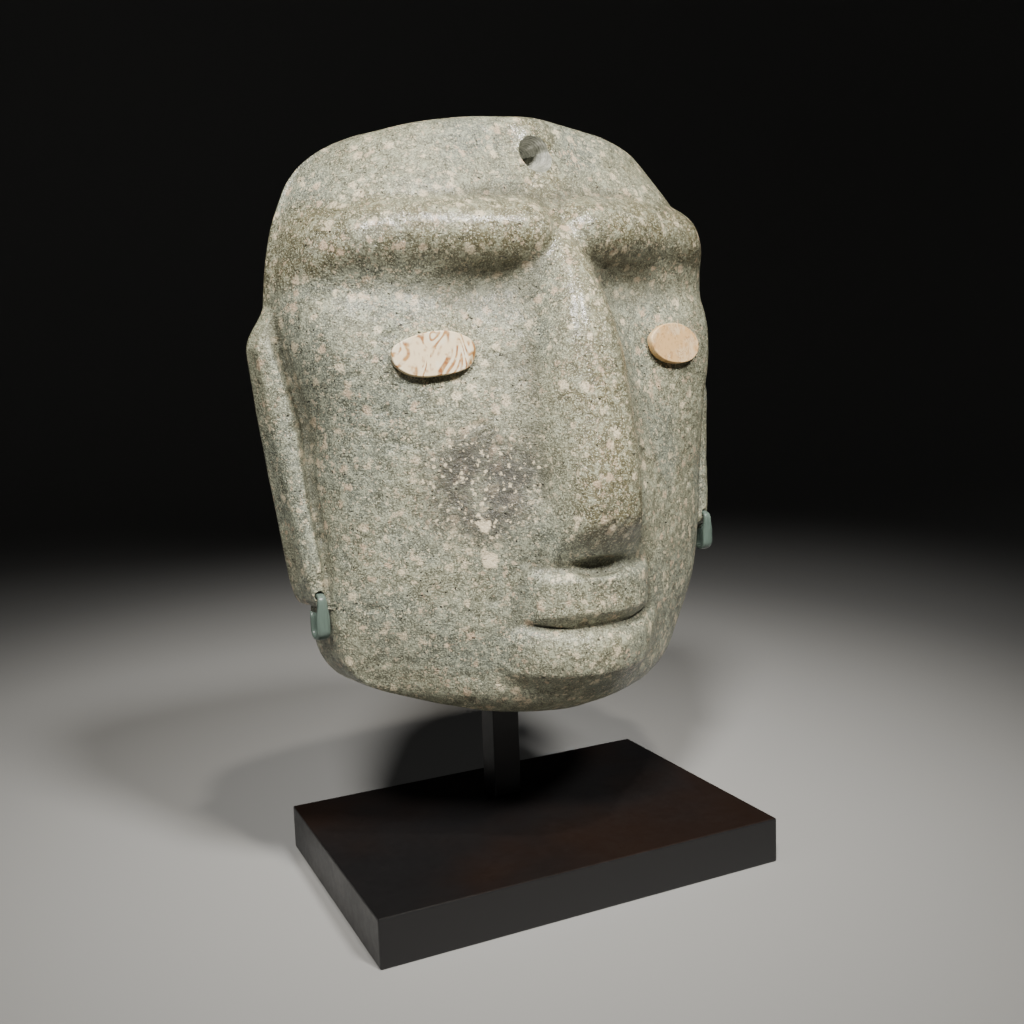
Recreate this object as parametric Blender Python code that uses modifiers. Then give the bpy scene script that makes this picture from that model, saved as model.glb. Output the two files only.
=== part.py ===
"""A carved stone mask on its display stand, in metres, +Z up.

The stone is one block: a domed face with two brow bars, a wedge nose, two
lips and a flat ear down each side, flat behind. Its front is a height field:
a depth for each place in the front view. Two shell discs lie on the cheeks
and two stone hooks hang from the ear lobes. A square post on a slab holds
the mask up from behind.
"""

import math

import bmesh
import bpy
import numpy as np
from mathutils import Vector

COLLECTION_NAME = "stone_mask_on_stand"
CUTTER_COLLECTION_NAME = "cutters"

# Stand: a slab and a square bar
BASE_LENGTH = 0.175
BASE_DEPTH = 0.118
BASE_HEIGHT = 0.019
BASE_EDGE = 0.0007
POST_SIDE = 0.0127
POST_EDGE = 0.0004
POST_X = 0.001
POST_Y = 0.0267
POST_RISE = 0.150
CLEARANCE = 0.0003

# Mask: its height, its place above the slab and its turn about the post
MASK_HEIGHT = 0.2355
MASK_LIFT = 0.0536
MASK_TURN = math.radians(5.0)
MASK_RINGS = 56
MOUTH_PATCH = (-0.40, 0.40, -0.78, -0.26)

# Shell discs
DISC_LENGTH = 0.031
DISC_WIDTH = 0.0183
DISC_THICKNESS = 0.0026
DISC_EDGE = 0.0005
DISC_SIDES = 36
DISC_SQUARENESS = 2.3

# Stone hooks
HOOK_WIDTH = 0.0053
HOOK_THICKNESS = 0.0021
HOOK_DROP = 0.018
HOOK_REACH = 0.0085
HOOK_TAIL = 0.0055
HOOK_TONGUE = 0.004
HOOK_EDGE = 0.0005
BEND_STEPS = 4
TURN_STEPS = 8

# Drilled pit in the forehead
PIT_RADIUS = 0.0072
PIT_TIP_RADIUS = 0.0016
PIT_DEPTH = 0.019
PIT_SIDES = 32

# Finishes: colour and roughness
STONE_FINISH = ((0.30, 0.31, 0.25), 0.45)
SHELL_FINISH = ((0.78, 0.64, 0.47), 0.4)
GREEN_FINISH = ((0.14, 0.19, 0.15), 0.3)
PAINT_FINISH = ((0.012, 0.011, 0.011), 0.35)

# The carving is laid out in shares of the mask's height, 235.5 to the full
# height, so that a share is a millimetre at the real size.
SHARES = 235.5
SHARE = MASK_HEIGHT / SHARES

# Front view of the block: angle from straight down, and distance from the centre
CENTRE_HEIGHT = 118.0
OUTLINE_LEFT = (
    (0, 118.8),
    (10, 119),
    (18, 120.2),
    (29, 122.6),
    (36, 126.2),
    (40.5, 127.0),
    (45, 122.8),
    (50, 114.8),
    (54, 108.2),
    (62.6, 99.8),
    (72.8, 94.7),
    (87.5, 91.1),
    (93.7, 92.7),
    (99.6, 96.3),
    (106.5, 102.2),
    (112.6, 107.9),
    (120, 113.4),
    (126, 118.6),
    (133, 124),
    (140, 127.2),
    (148, 125.6),
    (158, 120.6),
    (170, 117.2),
    (180, 116.4),
)
OUTLINE_RIGHT = (
    (0, 118.8),
    (9, 120),
    (19, 122),
    (26, 123.6),
    (33, 122.2),
    (38, 118.4),
    (44, 114.2),
    (50, 109.4),
    (54, 105.8),
    (62.6, 99.8),
    (72.8, 94.7),
    (87.5, 91.1),
    (93.7, 92.7),
    (99.6, 95),
    (106.5, 99.6),
    (112.6, 106),
    (120, 112.6),
    (126, 116.4),
    (133, 119.8),
    (140, 125.6),
    (148, 125.8),
    (158, 121.2),
    (170, 117),
    (180, 116.4),
)

# The outline is the mean over these angles, in degrees, which eases its corners
OUTLINE_EASE = (-4.0, -2.0, 0.0, 2.0, 4.0)
HALF_TURN = 180.0

# Depth of the block's edge, by the angle from straight down
EDGE_DEPTHS = (
    (0, 45),
    (25, 36),
    (42, 27),
    (55, 22),
    (90, 13),
    (115, 12),
    (130, 7),
    (137, 4.5),
    (150, 14),
    (165, 25),
    (180, 29),
)
EDGE_SHARPNESS = 18.0
WALL_LEAN = 2.0
BACK_ROUNDING = 5.0

# Cheeks and forehead: height, depth on the middle line, fall towards the sides, and its power
FACE_STATIONS = (
    (0, 58, 75, 1.8),
    (6, 67, 70, 1.6),
    (13, 70, 65, 1.5),
    (23, 72, 61, 1.35),
    (45, 74.5, 54, 1.3),
    (60, 73.5, 51, 1.35),
    (72, 69.5, 48, 1.6),
    (94, 60.5, 41, 2.4),
    (123, 55.5, 33, 3.2),
    (143, 52.5, 29, 4.0),
    (170, 49.5, 30, 4.0),
    (200, 46, 48, 3.6),
    (220, 38.5, 60, 3.0),
    (236, 33, 62, 2.8),
)
SIDE_SPAN = 100.0
KEEL_ROUNDING = 5.0

# Rings of the net over the block: the front's share, the groove's ring and its widest place
FRONT_SHARE = 6.0 / 7.0
FRONT_TOLERANCE = 1e-6
GROOVE_SHARE = 11.0 / 12.0
GROOVE_LIMIT = 0.97
CORNER_LIMIT = 0.8

# Least sine or cosine that a length is divided by
LEAST_SHARE = 0.2

# Soft rise of the cheeks towards the nose: height, rise and reach
NOSE_SKIRT = (
    (52, 0, 20),
    (60, 2, 21),
    (66, 5, 22),
    (72, 10, 24),
    (78, 14, 26),
    (86, 16.5, 28),
    (94, 17, 29),
    (123, 21, 27),
    (143, 21, 22),
    (158, 19, 19),
    (172, 14, 16),
    (184, 8, 14),
    (200, 0, 14),
)

# Ears, left and right: two points of the outer line, the ends, and the groove between cheek and ear
EAR_LINES = (((107.0, 144.0), (95.8, 56.0)), ((109.0, 144.0), (100.0, 56.0)))
EAR_TOPS = (150.0, 139.0)
EAR_SHOULDERS = (18.0, 34.0)
SHOULDER_ABOVE_TOP = 0.4
EAR_LOBES = (47.2, 61.5)
LOBE_ROUNDING = 7.0
LOBE_FADE = 8.0
EAR_SIDE = 87.0
EAR_DEPTHS = ((40, 25), (56, 24.5), (72, 23.5), (93, 20.5), (119, 17.5), (150, 15))
EAR_GROOVE = (4.5, 3.0)
EAR_ROUNDING = 7.0
EAR_FILLET = 1.5

# Brow bars: depth of the crest, height of its middle and half height, by the distance from the middle line,
# and the fillet round them, by the height
BROW_DEPTHS = ((0, 60), (12, 60), (35, 56.5), (51, 52.5), (75, 45.5), (90, 35.5), (100, 26.5))
BROW_HEIGHTS_LEFT = ((0, 186), (20, 185.5), (55, 185), (80, 182.5), (100, 178))
BROW_HEIGHTS_RIGHT = ((0, 186.5), (20, 187), (50, 188), (75, 187.5), (100, 183.5))
BROW_HALF_HEIGHTS = ((0, 13.5), (20, 15.5), (60, 16), (80, 15), (100, 12))
BROW_INNER_END = 13.0
BROW_OUTER_END = 92.0
BROW_RISE = 14.0
BROW_TOP_POWER = 2.8
BROW_UNDERSIDE_POWER = 1.9
COVE_DEPTH = 3.5
COVE_HEIGHT = 167.0
COVE_HALF_HEIGHT = 10.0
COVE_INNER_END = 16.0
COVE_END_LENGTH = 16.0
BROW_FILLETS = ((172, 5.0), (196, 1.8))

# Nose
RIDGE_DEPTHS = (
    (60, 88),
    (82, 89),
    (95, 88.5),
    (120, 84.5),
    (140, 80.5),
    (151, 77.5),
    (160, 74),
    (172, 67),
    (184, 56.5),
    (195, 46.5),
    (206, 38),
)
RIDGE_HALF_WIDTHS = (
    (60, 14.5),
    (95, 14.5),
    (120, 14.2),
    (140, 13),
    (151, 11.5),
    (161, 9.5),
    (172, 7.5),
    (184, 7),
    (206, 9),
)
RIDGE_POWER = 3.0
RIDGE_SIDE_SLOPE = 1.28
NOSE_UNDERSIDE = ((61, 75.5), (75, 86))
NOSE_UNDERSIDE_CURVE = 0.0186
NOSE_END_ROUNDING = 1.2
NOSE_FLANK_FILLET = 3.0
NOSE_FILLET = 1.5

# Lips
LIP_FALL = 11.8
UPPER_LIP_HALF_WIDTH = 28.0
UPPER_LIP_POWER = 3.0
LOWER_LIP_HALF_WIDTH = 29.0
LOWER_LIP_POWER = 2.2
UPPER_LIP_DEPTH = 80.5
UPPER_LIP_TOP = 64.5
LIP_LEDGE = 7.5
LIP_END = 5.0
LIP_FILLET = 1.0
PAST_CORNER = 1.3
MOUTH_TOP = 44.8
MOUTH_MIDDLE = 38.8
MOUTH_CORNER = 42.6
MOUTH_HALF_LENGTH = 31.0
MOUTH_SLOPE = 0.85
LOWER_LIP_DEPTHS = ((20, 79.9), (26, 81), (30, 81.2), (33, 80.6), (36, 78.6), (38.8, 75.2), (44, 72))
LOWER_LIP_EDGE = 21.2
LOWER_LIP_CORNER = 24.0
LOWER_LIP_HALF_LENGTH = 39.0
LOWER_LIP_UNDERCUT = 0.95

# Places of the discs, the hooks and the pit, and the probes that find an ear's front behind a hook
DISC_OFFSET = 54.5
DISC_HEIGHTS = (141.8, 144.3)
DISC_SLANT = math.radians(12.0)
HOOK_INSETS = (3.4, 5.8)
HOOK_ABOVE_LOBE = 6.5
HOOK_PROBE_SHARE = 1.5
HOOK_PROBES = (7, 9)
PIT_OFFSET = -1.0
PIT_HEIGHT = 219.0


def smooth_step(value):
    """0 below 0, 1 above 1, and an even curve between them."""
    value = np.clip(value, 0.0, 1.0)
    return value * value * (3.0 - 2.0 * value)


def inside_line(distance, fade):
    """1 inside a line, 0 outside it, fading evenly across it."""
    return smooth_step(distance / fade + 0.5)


def soft_max(first, second, radius):
    """The greater of two depths, with the line where they meet filleted."""
    return 0.5 * (first + second + np.sqrt((first - second) ** 2 + radius * radius))


def soft_min(first, second, radius):
    """The lesser of two depths, with the line where they meet rounded off."""
    return -soft_max(-first, -second, radius)


def curve_through(stations, column, at):
    """A smooth curve through one column of a table, without overshoot."""
    table = np.array(stations, float)
    places, values = table[:, 0], table[:, column]
    steps = np.diff(places)
    slopes = np.diff(values) / steps
    tangents = np.zeros(len(values))
    same_way = slopes[:-1] * slopes[1:] > 0
    inner = np.where(same_way, 2 * slopes[:-1] * slopes[1:], 0.0)
    total = np.where(same_way, slopes[:-1] + slopes[1:], 1.0)
    tangents[1:-1] = inner / total
    tangents[0], tangents[-1] = slopes[0], slopes[-1]
    at = np.clip(at, places[0], places[-1])
    index = np.clip(np.searchsorted(places, at, side="right") - 1, 0, len(steps) - 1)
    step = steps[index]
    part = (at - places[index]) / step
    rest = 1.0 - part
    value = values[index] * rest * rest * (1.0 + 2.0 * part)
    value += values[index + 1] * part * part * (3.0 - 2.0 * part)
    value += step * tangents[index] * part * rest * rest
    value -= step * tangents[index + 1] * part * part * rest
    return value


def from_bottom(angle):
    """An angle round the front view in degrees from straight down, either way."""
    return np.degrees(np.arctan2(np.abs(np.cos(angle)), -np.sin(angle)))


def by_side(angle, left, right):
    """One of two values, by the side of the mask."""
    return np.where(np.cos(angle) < 0, left, right)


def head_radius(angle):
    """Distance from the centre to the block's outline without the ears."""
    turn = np.degrees(np.arctan2(np.cos(angle), -np.sin(angle)))
    total = np.zeros_like(turn)
    for shift in OUTLINE_EASE:
        near = (turn + shift + HALF_TURN) % (2 * HALF_TURN) - HALF_TURN
        left, right = curve_through(OUTLINE_LEFT, 1, -near), curve_through(OUTLINE_RIGHT, 1, near)
        total += np.where(near < 0, left, right)
    return total / len(OUTLINE_EASE)


def ear_window(angle):
    """1 along an ear, fading to 0 above its top and below its lobe."""
    steepness = np.sin(angle) / np.maximum(np.abs(np.cos(angle)), LEAST_SHARE)
    height = CENTRE_HEIGHT + steepness * EAR_SIDE
    shoulder = by_side(angle, *EAR_SHOULDERS)
    below_top = (by_side(angle, *EAR_TOPS) + SHOULDER_ABOVE_TOP * shoulder - height) / shoulder
    above_lobe = (height - by_side(angle, *EAR_LOBES)) / LOBE_FADE + 1.0
    return smooth_step(below_top) * smooth_step(above_lobe)


def ear_lean(line):
    """How far an ear's outer line runs outwards for each millimetre upwards."""
    (top_offset, top_height), (low_offset, low_height) = line
    return (top_offset - low_offset) / (top_height - low_height)


def ear_offset(line, height):
    """Distance from the middle line to an ear's outer line, at a height."""
    offset, at = line[0]
    return offset + ear_lean(line) * (height - at)


def ear_radius(angle):
    """Distance from the centre to an ear's outer line, rounded into the lobe's lower edge."""
    left, right = EAR_LINES
    run = by_side(angle, ear_lean(left), ear_lean(right))
    at_centre = by_side(angle, ear_offset(left, CENTRE_HEIGHT), ear_offset(right, CENTRE_HEIGHT))
    outer = at_centre / np.maximum(np.abs(np.cos(angle)) - run * np.sin(angle), LEAST_SHARE)
    lower = (CENTRE_HEIGHT - by_side(angle, *EAR_LOBES)) / np.maximum(-np.sin(angle), LEAST_SHARE)
    return soft_min(outer, lower, LOBE_ROUNDING)


def outline_radius(angle):
    """Distance from the centre to the whole outline, ears included."""
    head = head_radius(angle)
    return head + np.maximum(ear_radius(angle) - head, 0.0) * ear_window(angle)


def edge_depth(angle):
    """Depth of the block's edge round its outline."""
    return curve_through(EDGE_DEPTHS, 1, from_bottom(angle))


def brow_depth(x, z):
    """The two brow bars: capsules with a crest that bends back with the face."""
    side = np.abs(x)
    crest = curve_through(BROW_DEPTHS, 1, side)
    left = curve_through(BROW_HEIGHTS_LEFT, 1, side)
    middle = np.where(x < 0, left, curve_through(BROW_HEIGHTS_RIGHT, 1, side))
    half_height = curve_through(BROW_HALF_HEIGHTS, 1, side)
    past_end = np.maximum(BROW_INNER_END - side, side - BROW_OUTER_END)
    along = np.maximum(past_end, 0.0) / half_height
    across = (z - middle) / half_height
    across = np.abs(across) ** np.where(across > 0, BROW_TOP_POWER, BROW_UNDERSIDE_POWER)
    return crest - BROW_RISE * (along**2 + across)


def nose_depth(cheek, side, z):
    """The ridge and flanks of the nose over the cheeks, cut off below by its underside."""
    ridge = curve_through(RIDGE_DEPTHS, 1, z)
    half_width = curve_through(RIDGE_HALF_WIDTHS, 1, z)
    fall = RIDGE_SIDE_SLOPE * half_width / RIDGE_POWER
    bridge = ridge - fall * (side / half_width) ** RIDGE_POWER
    (low, low_depth), (high, high_depth) = NOSE_UNDERSIDE
    slope = (high_depth - low_depth) / (high - low)
    underside = low_depth + slope * (z - low) - NOSE_UNDERSIDE_CURVE * side**2
    skirt, reach = (curve_through(NOSE_SKIRT, i, z) for i in (1, 2))
    flank = cheek + skirt * np.exp(-((side / reach) ** 2))
    return soft_max(flank, soft_min(bridge, underside, NOSE_END_ROUNDING), NOSE_FLANK_FILLET)


def mouth_line(side, middle, corner, half_length):
    """Height of a line of the mouth that curves from its middle to its corners."""
    return middle + (corner - middle) * np.clip(side / half_length, 0, PAST_CORNER) ** 2


def lip_depth(face, side, z):
    """Both lips, the slanted cut between them and the undercut below."""
    line = mouth_line(side, MOUTH_MIDDLE, MOUTH_CORNER, MOUTH_HALF_LENGTH)
    edge = mouth_line(side, LOWER_LIP_EDGE, LOWER_LIP_CORNER, LOWER_LIP_HALF_LENGTH)

    fall = LIP_FALL * (side / LOWER_LIP_HALF_WIDTH) ** LOWER_LIP_POWER
    swell = curve_through(LOWER_LIP_DEPTHS, 1, np.maximum(z, edge) - line + MOUTH_MIDDLE) - fall
    swell = soft_max(face, swell, LIP_FILLET)
    undercut = soft_max(face, swell - LOWER_LIP_UNDERCUT * (edge - z), LIP_FILLET / 2)
    lower = np.where(z < edge, undercut, swell)

    fall = LIP_FALL * (side / UPPER_LIP_HALF_WIDTH) ** UPPER_LIP_POWER
    inside = inside_line(UPPER_LIP_HALF_WIDTH - side, LIP_END)
    inside *= smooth_step((UPPER_LIP_TOP - z) / LIP_LEDGE)
    upper = face + np.maximum(UPPER_LIP_DEPTH - fall - face, 0.0) * inside
    along = np.clip(side / MOUTH_HALF_LENGTH, 0, 1)
    opening = (MOUTH_TOP - MOUTH_MIDDLE) * (1.0 - along**3)
    recess = MOUTH_SLOPE * np.clip(line + opening - z, 0, None)
    return np.where(z > line, upper - np.where(side < MOUTH_HALF_LENGTH, recess, 0.0), lower)


def front_depth(x, z):
    """Depth of the carved front over the flat back, at a place in the front view."""
    side = np.abs(x)
    rise = z - CENTRE_HEIGHT
    radius, angle = np.hypot(x, rise), np.arctan2(rise, x)
    middle, fall, power = (curve_through(FACE_STATIONS, i, z) for i in (1, 2, 3))
    away = np.sqrt(side**2 + KEEL_ROUNDING**2) - KEEL_ROUNDING
    face = middle - fall * (away / SIDE_SPAN) ** power

    cove = COVE_DEPTH * np.exp(-(((z - COVE_HEIGHT) / COVE_HALF_HEIGHT) ** 2))
    face = face - cove * inside_line(side - COVE_INNER_END, COVE_END_LENGTH)
    nose = nose_depth(face, side, z)
    face = soft_max(lip_depth(face, side, z), nose, np.clip(nose - face, 0, NOSE_FILLET))
    face = soft_max(face, brow_depth(x, z), curve_through(BROW_FILLETS, 1, z))

    edge = edge_depth(angle)
    head = head_radius(angle)
    share = np.clip(radius / head, 0, 1)
    face = edge + (face - edge) * np.sqrt(1.0 - share**EDGE_SHARPNESS)

    past = np.clip((radius - outline_radius(angle) + EAR_ROUNDING) / EAR_ROUNDING, 0, 1)
    ear = curve_through(EAR_DEPTHS, 1, z) - EAR_ROUNDING * (1.0 - np.sqrt(1.0 - past**2))
    groove_depth, groove_reach = EAR_GROOVE
    ear = ear - groove_depth * np.exp(-(((radius - head) / groove_reach) ** 2))
    ear = edge + (ear - edge) * ear_window(angle)
    return soft_max(face, ear, EAR_FILLET * ear_window(angle))


def front_radius(angle, share):
    """Distance from the centre to a ring of the front, one of them along the ear's groove."""
    outline = outline_radius(angle)
    knot = GROOVE_SHARE * outline
    knot = knot + (head_radius(angle) - knot) * ear_window(angle)
    knot = np.minimum(knot, GROOVE_LIMIT * outline)
    beyond = (share - GROOVE_SHARE) / (1.0 - GROOVE_SHARE)
    return np.where(share < GROOVE_SHARE, knot * share / GROOVE_SHARE, knot + (outline - knot) * beyond)


def block_points(u, v):
    """Square coordinates from -1 to 1 to points of the block, front and side walls."""
    reach = np.maximum(np.abs(u), np.abs(v))
    wide = np.abs(u) >= np.abs(v)
    ratio = np.where(wide, v / np.where(u == 0, 1, u), u / np.where(v == 0, 1, v))
    angle = np.where(wide, ratio * math.pi / 4, math.pi / 2 - ratio * math.pi / 4)
    angle = angle + np.where(np.where(wide, u, v) < 0, math.pi, 0.0)
    radius = front_radius(angle, np.minimum(reach / FRONT_SHARE, 1.0))
    x = radius * np.cos(angle)
    z = CENTRE_HEIGHT + radius * np.sin(angle)
    depth = front_depth(x, z)

    down = np.clip((reach - FRONT_SHARE) / (1.0 - FRONT_SHARE), 0, 1)
    corner = np.minimum(BACK_ROUNDING, CORNER_LIMIT * depth)
    wall = depth + (corner - depth) * np.clip(2 * down, 0, 1)
    turn = np.clip(2 * down - 1, 0, 1) * math.pi / 2
    on_wall = reach > FRONT_SHARE + FRONT_TOLERANCE
    depth = np.where(on_wall, wall - corner * np.sin(turn), depth)
    lean = WALL_LEAN * np.abs(np.cos(angle)) * np.clip(2 * down, 0, 1)
    inset = np.where(on_wall, corner * (1.0 - np.cos(turn)) - lean, 0.0)
    x -= inset * np.cos(angle)
    z -= inset * np.sin(angle)
    return np.stack((x, -np.maximum(depth, 0.0), z), axis=1)


def make_material(name, colour, roughness):
    material = bpy.data.materials.new(name)
    material.use_nodes = True
    shader = material.node_tree.nodes["Principled BSDF"]
    shader.inputs["Base Color"].default_value = (*colour, 1.0)
    shader.inputs["Roughness"].default_value = roughness
    shader.inputs["Metallic"].default_value = 0.0
    return material


def make_object(name, mesh, collection, material=None, parent=None):
    made = bpy.data.objects.new(name, mesh)
    collection.objects.link(made)
    made.parent = parent
    if material:
        mesh.materials.append(material)
    return made


def add_bevel(target, width, segments):
    bevel = target.modifiers.new("edges", "BEVEL")
    bevel.width = width
    bevel.segments = segments
    bevel.limit_method = "ANGLE"


def cut(target, cutter):
    cutter.hide_render = True
    cutter.display_type = "WIRE"
    boolean = target.modifiers.new(cutter.name, "BOOLEAN")
    boolean.operation = "DIFFERENCE"
    boolean.solver = "EXACT"
    boolean.object = cutter


def make_box(name, size, collection, material=None, parent=None):
    """A box that stands on its origin."""
    mesh = bpy.data.meshes.new(name)
    shape = bmesh.new()
    bmesh.ops.create_cube(shape, size=1.0)
    bmesh.ops.translate(shape, verts=shape.verts, vec=(0.0, 0.0, 0.5))
    bmesh.ops.scale(shape, verts=shape.verts, vec=size)
    shape.to_mesh(mesh)
    shape.free()
    return make_object(name, mesh, collection, material, parent)


def over_mouth(edge):
    """Whether an edge of the flat grid comes to lie over the lips and the nose's end."""
    left, right, low, high = MOUTH_PATCH
    return all(left < vert.co.x < right and low < vert.co.y < high for vert in edge.verts)


def make_mask(collection, material, parent):
    """A grid laid over the front and down the side walls, closed by a flat back."""
    mesh = bpy.data.meshes.new("mask")
    shape = bmesh.new()
    bmesh.ops.create_grid(shape, x_segments=MASK_RINGS, y_segments=MASK_RINGS, size=1.0)
    mouth = [edge for edge in shape.edges if over_mouth(edge)]
    bmesh.ops.subdivide_edges(shape, edges=mouth, cuts=1, use_grid_fill=True)
    square = np.array([vert.co[:2] for vert in shape.verts])
    for vert, point in zip(shape.verts, block_points(square[:, 0], square[:, 1])):
        vert.co = Vector(point * SHARE)
    rim = [edge for edge in shape.edges if edge.is_boundary]
    bmesh.ops.contextual_create(shape, geom=rim)
    bmesh.ops.recalc_face_normals(shape, faces=shape.faces)
    for face in shape.faces:
        face.smooth = len(face.verts) == 4
    shape.to_mesh(mesh)
    shape.free()
    return make_object("mask", mesh, collection, material, parent)


def make_pit_cutter(collection, parent):
    """A cone from well in front of the forehead to the pit's tip."""
    surface = float(front_depth(np.array([PIT_OFFSET]), np.array([PIT_HEIGHT]))[0]) * SHARE
    slope = (PIT_RADIUS - PIT_TIP_RADIUS) / PIT_DEPTH
    extra = PIT_DEPTH / 2
    mesh = bpy.data.meshes.new("pit_cutter")
    shape = bmesh.new()
    bmesh.ops.create_cone(
        shape,
        cap_ends=True,
        segments=PIT_SIDES,
        radius1=PIT_TIP_RADIUS,
        radius2=PIT_RADIUS + slope * extra,
        depth=PIT_DEPTH + extra,
    )
    shape.to_mesh(mesh)
    shape.free()
    cutter = make_object("pit_cutter", mesh, collection, parent=parent)
    cutter.rotation_euler = (math.pi / 2, 0.0, 0.0)
    middle = surface + (extra - PIT_DEPTH) / 2
    cutter.location = (PIT_OFFSET * SHARE, -middle, PIT_HEIGHT * SHARE)
    return cutter


def cheek_seat(sign, height):
    """Centre and turn of a disc whose back just clears the cheek."""
    half_length = DISC_LENGTH / 2 / SHARE
    half_width = DISC_WIDTH / 2 / SHARE
    step = 2.0
    column = np.array([DISC_OFFSET * sign] * 2)
    rows = np.array([height - step, height + step])
    low, high = front_depth(column, rows)
    tilt = math.atan2(high - low, 2 * step)
    seat = -math.inf
    for ring in (0.0, 0.5, 1.0):
        turn = np.linspace(0, 2 * math.pi, DISC_SIDES, endpoint=False)
        along, across = ring * half_length * np.cos(turn), ring * half_width * np.sin(turn)
        x = DISC_OFFSET * sign + along * math.cos(DISC_SLANT)
        z = height + across * math.cos(tilt)
        plane = -along * sign * math.sin(DISC_SLANT) + across * math.sin(tilt)
        seat = max(seat, float(np.max(front_depth(x, z) - plane)))
    return seat, tilt


def make_disc(name, sign, height, collection, material, parent):
    """A flat oval with a small bevel round its front."""
    mesh = bpy.data.meshes.new(name)
    shape = bmesh.new()
    ring = bmesh.ops.create_circle(shape, segments=DISC_SIDES, radius=1.0, cap_ends=True)
    power = 2.0 / DISC_SQUARENESS
    for vert in ring["verts"]:
        x, y = vert.co.x, vert.co.y
        vert.co.x = math.copysign(abs(x) ** power, x) * DISC_LENGTH / 2
        vert.co.y = math.copysign(abs(y) ** power, y) * DISC_WIDTH / 2
    raised = bmesh.ops.extrude_face_region(shape, geom=list(shape.faces))
    top = [item for item in raised["geom"] if isinstance(item, bmesh.types.BMVert)]
    bmesh.ops.translate(shape, verts=top, vec=(0.0, 0.0, DISC_THICKNESS))
    bmesh.ops.recalc_face_normals(shape, faces=shape.faces)
    shape.to_mesh(mesh)
    shape.free()
    disc = make_object(name, mesh, collection, material, parent)
    seat, tilt = cheek_seat(sign, height)
    disc.rotation_mode = "XYZ"
    disc.rotation_euler = (math.pi / 2 + tilt, 0.0, sign * DISC_SLANT)
    disc.location = (sign * DISC_OFFSET * SHARE, -(seat * SHARE + CLEARANCE), height * SHARE)
    add_bevel(disc, DISC_EDGE, 1)
    return disc


def hook_path(front, top):
    """Centre line of a hook, as depth and height: tongue, front limb, bend and tail."""
    bend = HOOK_THICKNESS
    low_bend = HOOK_REACH / 2 - HOOK_THICKNESS / 2
    bottom = top + HOOK_THICKNESS / 2 - HOOK_DROP + low_bend + HOOK_THICKNESS / 2
    points = [(front - bend - HOOK_TONGUE, top)]
    for step in range(BEND_STEPS + 1):
        turn = math.pi / 2 * step / BEND_STEPS
        points.append((front - bend + bend * math.sin(turn), top - bend + bend * math.cos(turn)))
    for step in range(TURN_STEPS + 1):
        turn = math.pi * step / TURN_STEPS
        points.append((front - low_bend + low_bend * math.cos(turn), bottom - low_bend * math.sin(turn)))
    points.append((front - 2 * low_bend, bottom + HOOK_TAIL))
    return points


def make_hook(name, sign, ear_line, lobe, inset, collection, material, parent):
    """A flat band bent into a hook: its side view, drawn once and given its width."""
    centre = (ear_offset(ear_line, lobe + HOOK_ABOVE_LOBE) - inset) * SHARE
    top = (lobe + HOOK_ABOVE_LOBE) * SHARE
    probes_across, probes_down = HOOK_PROBES
    half_reach = HOOK_WIDTH / 2 + 2 * CLEARANCE
    across = np.linspace(-half_reach, half_reach, probes_across)
    down = np.linspace(-HOOK_THICKNESS, HOOK_PROBE_SHARE * HOOK_ABOVE_LOBE * SHARE, probes_down)
    x, z = np.meshgrid(sign * centre + across, top - down)
    lobe_front = float(np.max(front_depth(x.ravel() / SHARE, z.ravel() / SHARE))) * SHARE
    front = lobe_front + CLEARANCE + HOOK_THICKNESS / 2

    path = [Vector((-depth, height)) for depth, height in hook_path(front, top)]
    ahead = path[1:] + [path[-1] * 2 - path[-2]]
    behind = [path[0] * 2 - path[1]] + path[:-1]
    half = HOOK_THICKNESS / 2
    sides = []
    for point, before, after in zip(path, behind, ahead):
        along = (after - before).normalized()
        across_band = Vector((-along.y, along.x)) * half
        sides.append((point + across_band, point - across_band))
    outline = [side[0] for side in sides] + [side[1] for side in reversed(sides)]

    curve = bpy.data.curves.new(name, "CURVE")
    curve.dimensions = "2D"
    curve.fill_mode = "BOTH"
    curve.bevel_depth = HOOK_EDGE
    curve.bevel_resolution = 1
    curve.offset = -HOOK_EDGE
    curve.extrude = HOOK_WIDTH / 2 - HOOK_EDGE
    spline = curve.splines.new("POLY")
    spline.points.add(len(outline) - 1)
    for point, place in zip(spline.points, outline):
        point.co = (place.x, place.y, 0.0, 1.0)
    spline.use_cyclic_u = True
    hook = make_object(name, curve, collection, material, parent)
    hook.rotation_euler = (math.pi / 2, 0.0, math.pi / 2)
    hook.location = (sign * centre, 0.0, 0.0)
    return sign * centre, front, top


def make_seat_cutter(name, centre, front, top, collection, parent):
    """The drilled seat that takes a hook's tongue."""
    floor = front - HOOK_THICKNESS - HOOK_TONGUE - CLEARANCE
    low = top - HOOK_THICKNESS - CLEARANCE
    high = top + HOOK_THICKNESS / 2 + CLEARANCE
    cutter = make_box(name, (HOOK_WIDTH + 2 * CLEARANCE, 2 * front, high - low), collection, parent=parent)
    cutter.location = (centre, -floor - front, low)
    return cutter


def clear_scene():
    for old in list(bpy.data.objects):
        bpy.data.objects.remove(old, do_unlink=True)


def new_collection(name):
    collection = bpy.data.collections.new(name)
    bpy.context.scene.collection.children.link(collection)
    return collection


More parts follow.
